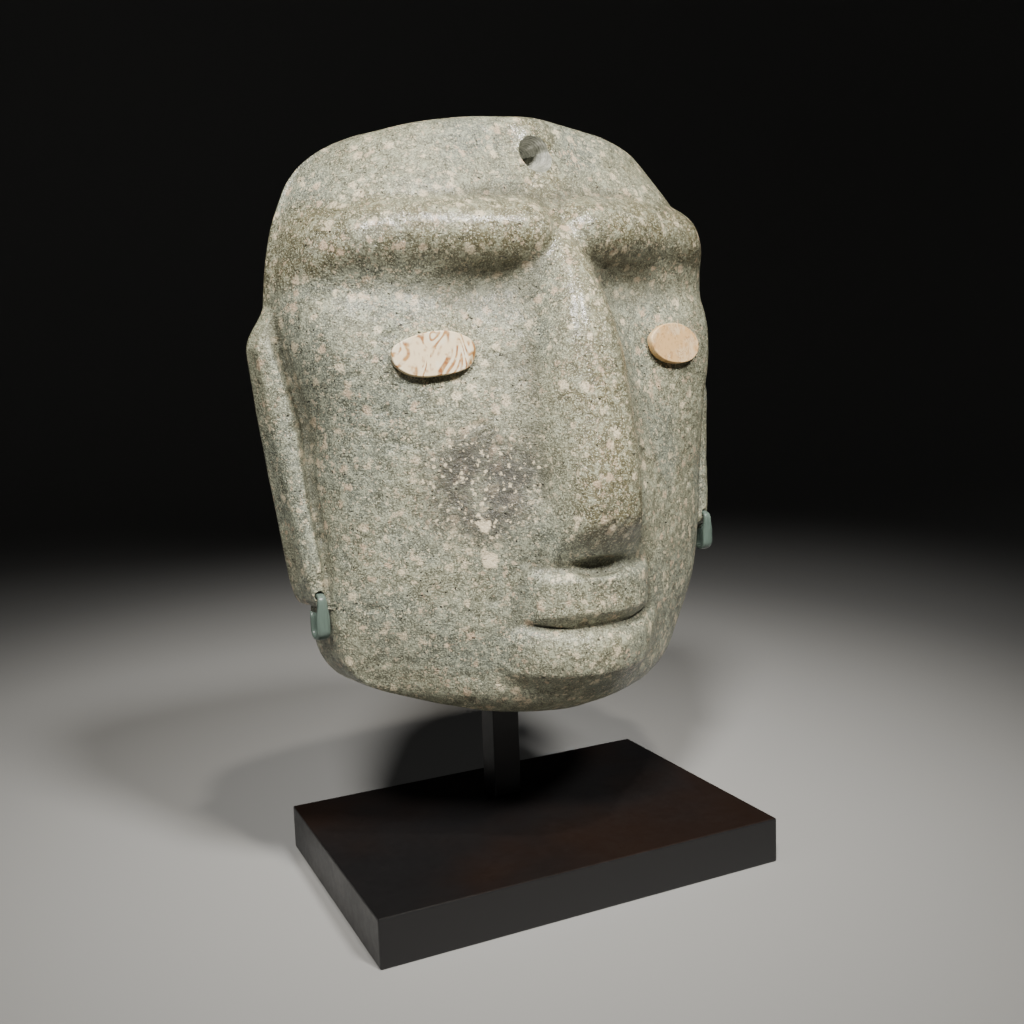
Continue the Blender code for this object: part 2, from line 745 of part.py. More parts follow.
def main():
    clear_scene()
    parts = new_collection(COLLECTION_NAME)
    cutters = new_collection(CUTTER_COLLECTION_NAME)
    stone = make_material("grey_green_stone", *STONE_FINISH)
    shell = make_material("pale_shell", *SHELL_FINISH)
    green_stone = make_material("polished_green_stone", *GREEN_FINISH)
    black_paint = make_material("black_paint", *PAINT_FINISH)

    base = make_box("base", (BASE_LENGTH, BASE_DEPTH, BASE_HEIGHT), parts, black_paint)
    add_bevel(base, BASE_EDGE, 2)

    mask_foot = BASE_HEIGHT + MASK_LIFT
    post_foot = BASE_HEIGHT + CLEARANCE
    post_size = (POST_SIDE, POST_SIDE, mask_foot + POST_RISE - post_foot)
    post = make_box("post", post_size, parts, black_paint)
    post.location = (POST_X, POST_Y, post_foot)
    add_bevel(post, POST_EDGE, 1)

    seat = bpy.data.objects.new("mask_seat", None)
    parts.objects.link(seat)
    corner_reach = POST_SIDE / 2 * (1.0 + math.tan(abs(MASK_TURN)))
    seat.location = (POST_X, POST_Y - corner_reach - CLEARANCE, mask_foot)
    seat.rotation_euler = (0.0, 0.0, MASK_TURN)

    mask = make_mask(parts, stone, seat)
    cut(mask, make_pit_cutter(cutters, seat))
    sides = zip(("left", "right"), (-1, 1), DISC_HEIGHTS, EAR_LINES, EAR_LOBES, HOOK_INSETS)
    for word, sign, eye_height, ear_line, lobe, inset in sides:
        make_disc(f"eye_disc_{word}", sign, eye_height, parts, shell, seat)
        place = make_hook(f"ear_hook_{word}", sign, ear_line, lobe, inset, parts, green_stone, seat)
        cut(mask, make_seat_cutter(f"seat_cutter_{word}", *place, cutters, seat))


main()
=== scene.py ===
import math

import bmesh
import bpy
import numpy as np
from mathutils import Matrix, Vector, kdtree, noise


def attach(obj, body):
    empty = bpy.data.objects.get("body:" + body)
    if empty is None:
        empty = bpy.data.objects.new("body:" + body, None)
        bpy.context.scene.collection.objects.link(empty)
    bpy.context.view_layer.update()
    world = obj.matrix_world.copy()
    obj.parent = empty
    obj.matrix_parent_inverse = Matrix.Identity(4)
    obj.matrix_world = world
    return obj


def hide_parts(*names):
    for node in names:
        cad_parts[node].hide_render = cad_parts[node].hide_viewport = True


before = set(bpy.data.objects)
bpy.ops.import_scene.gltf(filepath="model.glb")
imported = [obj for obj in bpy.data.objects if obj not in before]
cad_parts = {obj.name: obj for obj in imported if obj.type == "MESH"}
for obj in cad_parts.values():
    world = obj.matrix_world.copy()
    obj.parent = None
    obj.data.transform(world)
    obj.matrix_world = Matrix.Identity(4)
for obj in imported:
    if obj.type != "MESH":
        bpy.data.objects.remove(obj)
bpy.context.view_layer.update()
studio = bpy.context.scene.collection


# Viewpoint
# The camera stands in front of the mask, to the viewer's left and a little above
# the slab, tipped slightly, close enough for the slab's sides to run together.
VIEW_TURN = math.radians(-25.44)
VIEW_RISE = math.radians(7.04)
VIEW_ROLL = math.radians(-1.95)
VIEW_PLACE = Vector((-0.1946, -0.4044, 0.2052))
VIEW_LENS = 38.04

toward_viewer = Vector((
    math.sin(VIEW_TURN) * math.cos(VIEW_RISE),
    -math.cos(VIEW_TURN) * math.cos(VIEW_RISE),
    math.sin(VIEW_RISE),
))
level_right = (-toward_viewer).cross(Vector((0, 0, 1))).normalized()
level_up = level_right.cross(-toward_viewer)
view_right = math.cos(VIEW_ROLL) * level_right + math.sin(VIEW_ROLL) * level_up
view_up = math.cos(VIEW_ROLL) * level_up - math.sin(VIEW_ROLL) * level_right
camera_data = bpy.data.cameras.new("viewpoint")
camera_data.lens = VIEW_LENS
camera_data.sensor_width = 36.0
camera_data.clip_start = 0.01
camera = bpy.data.objects.new("viewpoint", camera_data)
studio.objects.link(camera)
turned = Matrix((view_right, view_up, toward_viewer)).transposed().to_4x4()
camera.matrix_world = Matrix.Translation(VIEW_PLACE) @ turned
bpy.context.scene.camera = camera


# Base slab
# A cut board with its arrises just eased, sprayed black and rubbed to a satin
# sheen, with a painted brown sheen on its upward faces, where the light catches the top.
SLAB_BLACK = (0.010, 0.0095, 0.010)
SLAB_SHEEN_BROWN = (0.017, 0.009, 0.006)


def add(tree, kind, inputs=(), **settings):
    """One node of a finish, with its settings and what feeds it."""
    made = tree.nodes.new("ShaderNode" + kind)
    for name, value in settings.items():
        setattr(made, name, value)
    for name, value in dict(inputs).items():
        if isinstance(value, bpy.types.NodeSocket):
            tree.links.new(value, made.inputs[name])
        else:
            made.inputs[name].default_value = value
    return made


def place_on_piece(tree):
    return add(tree, "TexCoord").outputs["Object"]


def grain(tree, place, scale, detail=4.0, roughness=0.6, distortion=0.0):
    """Soft noise over a piece, from 0 to 1."""
    inputs = {"Vector": place, "Scale": scale, "Detail": detail, "Roughness": roughness}
    inputs["Distortion"] = distortion
    return add(tree, "TexNoise", inputs).outputs["Fac"]


def between(tree, value, low, high, bottom=0.0, top=1.0):
    """A value stretched so that low to high becomes bottom to top, and no further."""
    inputs = {"Value": value, "From Min": low, "From Max": high, "To Min": bottom, "To Max": top}
    return add(tree, "MapRange", inputs, interpolation_type="SMOOTHSTEP").outputs["Result"]


def worked(tree, operation, first, second=0.0):
    made = add(tree, "Math", operation=operation)
    for socket, value in zip(made.inputs, (first, second)):
        if isinstance(value, bpy.types.NodeSocket):
            tree.links.new(value, socket)
        else:
            socket.default_value = value
    return made.outputs["Value"]


def times(tree, first, second):
    return worked(tree, "MULTIPLY", first, second)


def laid_over(tree, under, over, share):
    """One colour laid over another, as far as share goes."""
    made = add(tree, "Mix", data_type="RGBA", blend_type="MIX")
    sockets = (made.inputs[0], made.inputs[6], made.inputs[7])
    for socket, value in zip(sockets, (share, under, over)):
        if isinstance(value, bpy.types.NodeSocket):
            tree.links.new(value, socket)
        else:
            socket.default_value = (*value, 1.0) if isinstance(value, tuple) else value
    return made.outputs[2]


def relief(tree, height, distance, under=None):
    inputs = {"Height": height, "Distance": distance}
    if under:
        inputs["Normal"] = under
    return add(tree, "Bump", inputs).outputs["Normal"]


def new_finish(name):
    finish = bpy.data.materials.new(name)
    finish.use_nodes = True
    tree = finish.node_tree
    return finish, tree, tree.nodes["Principled BSDF"]


# The painted brown sheen on upward faces: scale and detail of its clouds, the levels between
# which it sets in, and how level the surface is where it starts and is full
SHEEN_BROWN_CLOUDS = (9.0, 3.0)
SHEEN_BROWN_LEVELS = (0.35, 0.7)
SHEEN_BROWN_SLOPES = (0.5, 0.95)

# Rubbing marks and haze: the noise of each, then its levels and the roughness at them
RUB_MARKS = (240.0, 5.0, 0.7)
RUB_SHEEN = (0.3, 0.7, 0.30, 0.38)
RUB_RELIEF = 0.00002
HAZE = (22.0, 3.0)
HAZE_SHEEN = (0.3, 0.7, 0.0, 0.08)


def satin_black(name, painted_sheen_share):
    finish, tree, shader = new_finish(name)
    place = place_on_piece(tree)
    cloud = between(tree, grain(tree, place, *SHEEN_BROWN_CLOUDS), *SHEEN_BROWN_LEVELS, 0.0, painted_sheen_share)
    normal = add(tree, "NewGeometry").outputs["Normal"]
    up = add(tree, "SeparateXYZ", {"Vector": normal}).outputs["Z"]
    # Painted sheen: the brown is kept to faces that point up, where light falls on the top
    cloud = times(tree, cloud, between(tree, up, *SHEEN_BROWN_SLOPES))
    colour = laid_over(tree, SLAB_BLACK, SLAB_SHEEN_BROWN, cloud)
    rub = grain(tree, place, *RUB_MARKS)
    haze = grain(tree, place, *HAZE)
    tree.links.new(colour, shader.inputs["Base Color"])
    gloss = worked(tree, "ADD", between(tree, rub, *RUB_SHEEN), between(tree, haze, *HAZE_SHEEN))
    tree.links.new(gloss, shader.inputs["Roughness"])
    tree.links.new(relief(tree, rub, RUB_RELIEF), shader.inputs["Normal"])
    return finish


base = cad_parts["base"]
base.data.materials.clear()
base.data.materials.append(satin_black("black_lacquer", painted_sheen_share=0.9))


# Post
# A square steel bar in the same black, set into the slab, that runs up behind
# the mask's flat back and holds its weight.
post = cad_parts["post"]
post.data.materials.clear()
post.data.materials.append(satin_black("black_metal", painted_sheen_share=0.3))


# Mask
# One block of speckled grey-green stone, sawn flat behind, pecked and ground to
# shape in front and then polished. Pits, small chips and a brown bloom on the
# high parts came with age.
MASK_RINGS = 308
MM = 0.001

# The flat back stands just before the post, turned a little on it
MASK_TURN = math.radians(5.0)
MASK_FOOT = 0.0726
MASK_CLEARANCE = 0.0003
POST_SIDE = 0.0127
POST_PLACE = (0.001, 0.0267)
back_place = POST_PLACE[1] - POST_SIDE / 2 * (1.0 + math.tan(MASK_TURN)) - MASK_CLEARANCE
POST_FACE = Vector((POST_PLACE[0], back_place, MASK_FOOT))

# The carving is in millimetres over the flat back: x to the viewer's right, z up
# from the chin.

# Front view of the block: angle from straight down, and distance from the centre
CENTRE_HEIGHT = 118.0
OUTLINE_LEFT = (
    (0, 118.8),
    (10, 119),
    (18, 120.2),
    (29, 122.6),
    (36, 126.2),
    (40.5, 127.0),
    (45, 122.8),
    (50, 114.8),
    (54, 108.2),
    (62.6, 99.8),
    (72.8, 94.7),
    (87.5, 91.1),
    (93.7, 92.7),
    (99.6, 96.3),
    (106.5, 102.2),
    (112.6, 107.9),
    (120, 113.4),
    (126, 118.6),
    (133, 124),
    (140, 127.2),
    (148, 125.6),
    (158, 120.6),
    (170, 117.2),
    (180, 116.4),
)
OUTLINE_RIGHT = (
    (0, 118.8),
    (9, 120),
    (19, 122),
    (26, 123.6),
    (33, 122.2),
    (38, 118.4),
    (44, 114.2),
    (50, 109.4),
    (54, 105.8),
    (62.6, 99.8),
    (72.8, 94.7),
    (87.5, 91.1),
    (93.7, 92.7),
    (99.6, 95),
    (106.5, 99.6),
    (112.6, 106),
    (120, 112.6),
    (126, 116.4),
    (133, 119.8),
    (140, 125.6),
    (148, 125.8),
    (158, 121.2),
    (170, 117),
    (180, 116.4),
)

# The outline is the mean over these angles, in degrees, which eases its corners
OUTLINE_EASE = (-4.0, -2.0, 0.0, 2.0, 4.0)
HALF_TURN = 180.0

# Depth of the block's edge, by the angle from straight down
EDGE_DEPTHS = (
    (0, 45),
    (25, 36),
    (42, 27),
    (55, 22),
    (90, 13),
    (115, 12),
    (130, 7),
    (137, 4.5),
    (150, 14),
    (165, 25),
    (180, 29),
)
EDGE_SHARPNESS = 18.0
WALL_LEAN = 2.0
BACK_ROUNDING = 5.0

# Cheeks and forehead: height, depth on the middle line, fall towards the sides, and its power
FACE_STATIONS = (
    (0, 58, 75, 1.8),
    (6, 67, 70, 1.6),
    (13, 70, 65, 1.5),
    (23, 72, 61, 1.35),
    (45, 74.5, 54, 1.3),
    (60, 73.5, 51, 1.35),
    (72, 69.5, 48, 1.6),
    (94, 60.5, 41, 2.4),
    (123, 55.5, 33, 3.2),
    (143, 52.5, 29, 4.0),
    (170, 49.5, 30, 4.0),
    (200, 46, 48, 3.6),
    (220, 38.5, 60, 3.0),
    (236, 33, 62, 2.8),
)
SIDE_SPAN = 100.0
KEEL_ROUNDING = 5.0

# Rings of the net over the block: the front's share, the groove's ring and its widest place
FRONT_SHARE = 6.0 / 7.0
FRONT_TOLERANCE = 1e-6
GROOVE_SHARE = 11.0 / 12.0
GROOVE_LIMIT = 0.97
CORNER_LIMIT = 0.8

# Least sine or cosine that a length is divided by
LEAST_SHARE = 0.2

# Soft rise of the cheeks towards the nose: height, rise and reach
NOSE_SKIRT = (
    (52, 0, 20),
    (60, 2, 21),
    (66, 5, 22),
    (72, 10, 24),
    (78, 14, 26),
    (86, 16.5, 28),
    (94, 17, 29),
    (123, 21, 27),
    (143, 21, 22),
    (158, 19, 19),
    (172, 14, 16),
    (184, 8, 14),
    (200, 0, 14),
)

# Ears, left and right: two points of the outer line, the ends, and the groove between cheek and ear
EAR_LINES = (((107.0, 144.0), (95.8, 56.0)), ((109.0, 144.0), (100.0, 56.0)))
EAR_TOPS = (150.0, 139.0)
EAR_SHOULDERS = (18.0, 34.0)
SHOULDER_ABOVE_TOP = 0.4
EAR_LOBES = (47.2, 61.5)
LOBE_ROUNDING = 7.0
LOBE_FADE = 8.0
EAR_SIDE = 87.0
EAR_DEPTHS = ((40, 25), (56, 24.5), (72, 23.5), (93, 20.5), (119, 17.5), (150, 15))
EAR_GROOVE = (4.5, 3.0)
EAR_ROUNDING = 7.0
EAR_FILLET = 1.5

# Brow bars: depth of the crest, height of its middle and half height, by the
# distance from the middle line, and the fillet round them, by the height
BROW_DEPTHS = ((0, 60), (12, 60), (35, 56.5), (51, 52.5), (75, 45.5), (90, 35.5), (100, 26.5))
BROW_HEIGHTS_LEFT = ((0, 186), (20, 185.5), (55, 185), (80, 182.5), (100, 178))
BROW_HEIGHTS_RIGHT = ((0, 186.5), (20, 187), (50, 188), (75, 187.5), (100, 183.5))
BROW_HALF_HEIGHTS = ((0, 13.5), (20, 15.5), (60, 16), (80, 15), (100, 12))
BROW_INNER_END = 13.0
BROW_OUTER_END = 92.0
BROW_RISE = 14.0
BROW_TOP_POWER = 2.8
BROW_UNDERSIDE_POWER = 1.9
COVE_DEPTH = 3.5
COVE_HEIGHT = 167.0
COVE_HALF_HEIGHT = 10.0
COVE_INNER_END = 16.0
COVE_END_LENGTH = 16.0
BROW_FILLETS = ((172, 5.0), (196, 1.8))

# Nose
RIDGE_DEPTHS = (
    (60, 88),
    (82, 89),
    (95, 88.5),
    (120, 84.5),
    (140, 80.5),
    (151, 77.5),
    (160, 74),
    (172, 67),
    (184, 56.5),
    (195, 46.5),
    (206, 38),
)
RIDGE_HALF_WIDTHS = (
    (60, 14.5),
    (95, 14.5),
    (120, 14.2),
    (140, 13),
    (151, 11.5),
    (161, 9.5),
    (172, 7.5),
    (184, 7),
    (206, 9),
)
RIDGE_POWER = 3.0
RIDGE_SIDE_SLOPE = 1.28
NOSE_UNDERSIDE = ((61, 75.5), (75, 86))
NOSE_UNDERSIDE_CURVE = 0.0186
NOSE_END_ROUNDING = 1.2
NOSE_FLANK_FILLET = 3.0
NOSE_FILLET = 1.5

# Lips
LIP_FALL = 11.8
UPPER_LIP_HALF_WIDTH = 28.0
UPPER_LIP_POWER = 3.0
LOWER_LIP_HALF_WIDTH = 29.0
LOWER_LIP_POWER = 2.2
UPPER_LIP_DEPTH = 80.5
UPPER_LIP_TOP = 64.5
LIP_LEDGE = 7.5
LIP_END = 5.0
LIP_FILLET = 1.0
PAST_CORNER = 1.3
MOUTH_TOP = 44.8
MOUTH_MIDDLE = 38.8
MOUTH_CORNER = 42.6
MOUTH_HALF_LENGTH = 31.0
MOUTH_SLOPE = 0.85
LOWER_LIP_DEPTHS = ((20, 79.9), (26, 81), (30, 81.2), (33, 80.6), (36, 78.6), (38.8, 75.2), (44, 72))
LOWER_LIP_EDGE = 21.2
LOWER_LIP_CORNER = 24.0
LOWER_LIP_HALF_LENGTH = 39.0
LOWER_LIP_UNDERCUT = 0.95


def smooth_step(value):
    """0 below 0, 1 above 1, and an even curve between them."""
    value = np.clip(value, 0.0, 1.0)
    return value * value * (3.0 - 2.0 * value)


def inside_line(distance, fade):
    """1 inside a line, 0 outside it, fading evenly across it."""
    return smooth_step(distance / fade + 0.5)


def soft_max(first, second, radius):
    """The greater of two depths, with the line where they meet filleted."""
    return 0.5 * (first + second + np.sqrt((first - second) ** 2 + radius * radius))


def soft_min(first, second, radius):
    """The lesser of two depths, with the line where they meet rounded off."""
    return -soft_max(-first, -second, radius)


def curve_through(stations, column, at):
    """A smooth curve through one column of a table, without overshoot."""
    table = np.array(stations, float)
    places, values = table[:, 0], table[:, column]
    steps = np.diff(places)
    slopes = np.diff(values) / steps
    tangents = np.zeros(len(values))
    same_way = slopes[:-1] * slopes[1:] > 0
    inner = np.where(same_way, 2 * slopes[:-1] * slopes[1:], 0.0)
    total = np.where(same_way, slopes[:-1] + slopes[1:], 1.0)
    tangents[1:-1] = inner / total
    tangents[0], tangents[-1] = slopes[0], slopes[-1]
    at = np.clip(at, places[0], places[-1])
    index = np.clip(np.searchsorted(places, at, side="right") - 1, 0, len(steps) - 1)
    step = steps[index]
    part = (at - places[index]) / step
    rest = 1.0 - part
    value = values[index] * rest * rest * (1.0 + 2.0 * part)
    value += values[index + 1] * part * part * (3.0 - 2.0 * part)
    value += step * tangents[index] * part * rest * rest
    value -= step * tangents[index + 1] * part * part * rest
    return value


def from_bottom(angle):
    """An angle round the front view in degrees from straight down, either way."""
    return np.degrees(np.arctan2(np.abs(np.cos(angle)), -np.sin(angle)))


def by_side(angle, left, right):
    """One of two values, by the side of the mask."""
    return np.where(np.cos(angle) < 0, left, right)


def head_radius(angle):
    """Distance from the centre to the block's outline without the ears."""
    turn = np.degrees(np.arctan2(np.cos(angle), -np.sin(angle)))
    total = np.zeros_like(turn)
    for shift in OUTLINE_EASE:
        near = (turn + shift + HALF_TURN) % (2 * HALF_TURN) - HALF_TURN
        left, right = curve_through(OUTLINE_LEFT, 1, -near), curve_through(OUTLINE_RIGHT, 1, near)
        total += np.where(near < 0, left, right)
    return total / len(OUTLINE_EASE)


def ear_window(angle):
    """1 along an ear, fading to 0 above its top and below its lobe."""
    steepness = np.sin(angle) / np.maximum(np.abs(np.cos(angle)), LEAST_SHARE)
    height = CENTRE_HEIGHT + steepness * EAR_SIDE
    shoulder = by_side(angle, *EAR_SHOULDERS)
    below_top = (by_side(angle, *EAR_TOPS) + SHOULDER_ABOVE_TOP * shoulder - height) / shoulder
    above_lobe = (height - by_side(angle, *EAR_LOBES)) / LOBE_FADE + 1.0
    return smooth_step(below_top) * smooth_step(above_lobe)


def ear_lean(line):
    """How far an ear's outer line runs outwards for each millimetre upwards."""
    (top_offset, top_height), (low_offset, low_height) = line
    return (top_offset - low_offset) / (top_height - low_height)


def ear_offset(line, height):
    """Distance from the middle line to an ear's outer line, at a height."""
    offset, at = line[0]
    return offset + ear_lean(line) * (height - at)


def ear_radius(angle):
    """Distance from the centre to an ear's outer line, rounded into the lobe's lower edge."""
    left, right = EAR_LINES
    run = by_side(angle, ear_lean(left), ear_lean(right))
    at_centre = by_side(angle, ear_offset(left, CENTRE_HEIGHT), ear_offset(right, CENTRE_HEIGHT))
    outer = at_centre / np.maximum(np.abs(np.cos(angle)) - run * np.sin(angle), LEAST_SHARE)
    lower = (CENTRE_HEIGHT - by_side(angle, *EAR_LOBES)) / np.maximum(-np.sin(angle), LEAST_SHARE)
    return soft_min(outer, lower, LOBE_ROUNDING)


def outline_radius(angle):
    """Distance from the centre to the whole outline, ears included."""
    head = head_radius(angle)
    return head + np.maximum(ear_radius(angle) - head, 0.0) * ear_window(angle)


def edge_depth(angle):
    """Depth of the block's edge round its outline."""
    return curve_through(EDGE_DEPTHS, 1, from_bottom(angle))


def brow_depth(x, z):
    """The two brow bars: capsules with a crest that bends back with the face."""
    side = np.abs(x)
    crest = curve_through(BROW_DEPTHS, 1, side)
    left = curve_through(BROW_HEIGHTS_LEFT, 1, side)
    middle = np.where(x < 0, left, curve_through(BROW_HEIGHTS_RIGHT, 1, side))
    half_height = curve_through(BROW_HALF_HEIGHTS, 1, side)
    past_end = np.maximum(BROW_INNER_END - side, side - BROW_OUTER_END)
    along = np.maximum(past_end, 0.0) / half_height
    across = (z - middle) / half_height
    across = np.abs(across) ** np.where(across > 0, BROW_TOP_POWER, BROW_UNDERSIDE_POWER)
    return crest - BROW_RISE * (along**2 + across)


def nose_depth(cheek, side, z):
    """The ridge and flanks of the nose over the cheeks, cut off below by its underside."""
    ridge = curve_through(RIDGE_DEPTHS, 1, z)
    half_width = curve_through(RIDGE_HALF_WIDTHS, 1, z)
    fall = RIDGE_SIDE_SLOPE * half_width / RIDGE_POWER
    bridge = ridge - fall * (side / half_width) ** RIDGE_POWER
    (low, low_depth), (high, high_depth) = NOSE_UNDERSIDE
    slope = (high_depth - low_depth) / (high - low)
    underside = low_depth + slope * (z - low) - NOSE_UNDERSIDE_CURVE * side**2
    skirt, reach = (curve_through(NOSE_SKIRT, i, z) for i in (1, 2))
    flank = cheek + skirt * np.exp(-((side / reach) ** 2))
    return soft_max(flank, soft_min(bridge, underside, NOSE_END_ROUNDING), NOSE_FLANK_FILLET)


def mouth_line(side, middle, corner, half_length):
    """Height of a line of the mouth that curves from its middle to its corners."""
    return middle + (corner - middle) * np.clip(side / half_length, 0, PAST_CORNER) ** 2


def lip_depth(face, side, z):
    """Both lips, the slanted cut between them and the undercut below."""
    line = mouth_line(side, MOUTH_MIDDLE, MOUTH_CORNER, MOUTH_HALF_LENGTH)
    edge = mouth_line(side, LOWER_LIP_EDGE, LOWER_LIP_CORNER, LOWER_LIP_HALF_LENGTH)

    fall = LIP_FALL * (side / LOWER_LIP_HALF_WIDTH) ** LOWER_LIP_POWER
    swell = curve_through(LOWER_LIP_DEPTHS, 1, np.maximum(z, edge) - line + MOUTH_MIDDLE) - fall
    swell = soft_max(face, swell, LIP_FILLET)
    undercut = soft_max(face, swell - LOWER_LIP_UNDERCUT * (edge - z), LIP_FILLET / 2)
    lower = np.where(z < edge, undercut, swell)

    fall = LIP_FALL * (side / UPPER_LIP_HALF_WIDTH) ** UPPER_LIP_POWER
    inside = inside_line(UPPER_LIP_HALF_WIDTH - side, LIP_END)
    inside *= smooth_step((UPPER_LIP_TOP - z) / LIP_LEDGE)
    upper = face + np.maximum(UPPER_LIP_DEPTH - fall - face, 0.0) * inside
    along = np.clip(side / MOUTH_HALF_LENGTH, 0, 1)
    opening = (MOUTH_TOP - MOUTH_MIDDLE) * (1.0 - along**3)
    recess = MOUTH_SLOPE * np.clip(line + opening - z, 0, None)
    return np.where(z > line, upper - np.where(side < MOUTH_HALF_LENGTH, recess, 0.0), lower)


def front_depth(x, z):
    """Depth of the carved front over the flat back, at a place in the front view."""
    side = np.abs(x)
    rise = z - CENTRE_HEIGHT
    radius, angle = np.hypot(x, rise), np.arctan2(rise, x)
    middle, fall, power = (curve_through(FACE_STATIONS, i, z) for i in (1, 2, 3))
    away = np.sqrt(side**2 + KEEL_ROUNDING**2) - KEEL_ROUNDING
    face = middle - fall * (away / SIDE_SPAN) ** power

    cove = COVE_DEPTH * np.exp(-(((z - COVE_HEIGHT) / COVE_HALF_HEIGHT) ** 2))
    face = face - cove * inside_line(side - COVE_INNER_END, COVE_END_LENGTH)
    nose = nose_depth(face, side, z)
    face = soft_max(lip_depth(face, side, z), nose, np.clip(nose - face, 0, NOSE_FILLET))
    face = soft_max(face, brow_depth(x, z), curve_through(BROW_FILLETS, 1, z))

    edge = edge_depth(angle)
    head = head_radius(angle)
    share = np.clip(radius / head, 0, 1)
    face = edge + (face - edge) * np.sqrt(1.0 - share**EDGE_SHARPNESS)

    past = np.clip((radius - outline_radius(angle) + EAR_ROUNDING) / EAR_ROUNDING, 0, 1)
    ear = curve_through(EAR_DEPTHS, 1, z) - EAR_ROUNDING * (1.0 - np.sqrt(1.0 - past**2))
    groove_depth, groove_reach = EAR_GROOVE
    ear = ear - groove_depth * np.exp(-(((radius - head) / groove_reach) ** 2))
    ear = edge + (ear - edge) * ear_window(angle)
    return soft_max(face, ear, EAR_FILLET * ear_window(angle))


def front_radius(angle, share):
    """Distance from the centre to a ring of the front, one of them along the ear's groove."""
    outline = outline_radius(angle)
    knot = GROOVE_SHARE * outline
    knot = knot + (head_radius(angle) - knot) * ear_window(angle)
    knot = np.minimum(knot, GROOVE_LIMIT * outline)
    beyond = (share - GROOVE_SHARE) / (1.0 - GROOVE_SHARE)
    return np.where(share < GROOVE_SHARE, knot * share / GROOVE_SHARE, knot + (outline - knot) * beyond)


def block_points(u, v):
    """Square coordinates from -1 to 1 to points of the block, front and side walls."""
    reach = np.maximum(np.abs(u), np.abs(v))
    wide = np.abs(u) >= np.abs(v)
    ratio = np.where(wide, v / np.where(u == 0, 1, u), u / np.where(v == 0, 1, v))
    angle = np.where(wide, ratio * math.pi / 4, math.pi / 2 - ratio * math.pi / 4)
    angle = angle + np.where(np.where(wide, u, v) < 0, math.pi, 0.0)
    radius = front_radius(angle, np.minimum(reach / FRONT_SHARE, 1.0))
    x = radius * np.cos(angle)
    z = CENTRE_HEIGHT + radius * np.sin(angle)
    depth = front_depth(x, z)

    down = np.clip((reach - FRONT_SHARE) / (1.0 - FRONT_SHARE), 0, 1)
    corner = np.minimum(BACK_ROUNDING, CORNER_LIMIT * depth)
    wall = depth + (corner - depth) * np.clip(2 * down, 0, 1)
    turn = np.clip(2 * down - 1, 0, 1) * math.pi / 2
    on_wall = reach > FRONT_SHARE + FRONT_TOLERANCE
    depth = np.where(on_wall, wall - corner * np.sin(turn), depth)
    lean = WALL_LEAN * np.abs(np.cos(angle)) * np.clip(2 * down, 0, 1)
    inset = np.where(on_wall, corner * (1.0 - np.cos(turn)) - lean, 0.0)
    x -= inset * np.cos(angle)
    z -= inset * np.sin(angle)
    return np.stack((x, -np.maximum(depth, 0.0), z), axis=1)


square_net = bmesh.new()
bmesh.ops.create_grid(square_net, x_segments=MASK_RINGS, y_segments=MASK_RINGS, size=1.0)
rim = [edge for edge in square_net.edges if edge.is_boundary]
bmesh.ops.contextual_create(square_net, geom=rim)
mask_mesh = bpy.data.meshes.new("mask_stone")
square_net.to_mesh(mask_mesh)
square_net.free()
square = np.empty(len(mask_mesh.vertices) * 3, np.float32)
mask_mesh.vertices.foreach_get("co", square)
square = square.reshape(-1, 3).astype(float)
carved = block_points(square[:, 0], square[:, 1])


def set_points(mesh, points):
    mesh.vertices.foreach_set("co", (points * MM).astype(np.float32).ravel())
    mesh.update()


def normals_of(mesh):
    found = np.empty(len(mesh.vertices) * 3, np.float32)
    mesh.vertex_normals.foreach_get("vector", found)
    return found.reshape(-1, 3)


def evened(values, reach):
    """Values on the net, each the mean of those within reach of it."""
    side = MASK_RINGS + 1
    net = values.reshape(side, side, -1)
    for axis in (0, 1):
        margins = [(0, 0)] * 3
        margins[axis] = (reach + 1, reach)
        total = np.cumsum(np.pad(net, margins, mode="edge"), axis=axis)
        ahead = np.take(total, range(2 * reach + 1, side + 2 * reach + 1), axis=axis)
        net = (ahead - np.take(total, range(side), axis=axis)) / (2 * reach + 1)
    return net.reshape(len(values), -1)


def uneven(points, size, shift):
    """Smooth unevenness of a given size over the stone, from -1 to 1."""
    return np.array([noise.noise(Vector(point / size) + Vector((shift, 0, 0))) for point in points])


# Hand work leaves the front a little wavy: the size and depth of each wave, and
# the depth of the side wall over which they set in
WAVES = ((34.0, 0.50), (14.0, 0.26), (6.0, 0.10), (2.6, 0.06))
WAVE_FADE = 6.0

# The stone's soft spots weather into shallow pits, some of them long and slanted
WEATHER_PITS = 420
WEATHER_SEED = 18
WEATHERED_FROM = 10.0
LEAST_PIT_WIDTH = 0.9
PIT_WIDTH_RANGE = 1.7
PIT_DEPTHS = (0.16, 0.34)
PIT_LENGTHS = (1.0, 1.7)
PIT_LEANS = (-0.5, 0.5)

# A hollow under the nose's tip: its middle, its reach across and up, and its depth
NOSE_HOLLOW_PLACE = (-1.0, 62.0)
NOSE_HOLLOW_REACH = (12.0, 3.4)
NOSE_HOLLOW_DEPTH = 3.0
NOSE_HOLLOW_EDGE = 1.3

dice = np.random.default_rng(WEATHER_SEED)
set_points(mask_mesh, carved)
outward = normals_of(mask_mesh)
wave = sum(deep * uneven(carved, size, size) for size, deep in WAVES)
on_front = smooth_step(-carved[:, 1] / WAVE_FADE)
worn = carved + outward * (wave * on_front)[:, None]

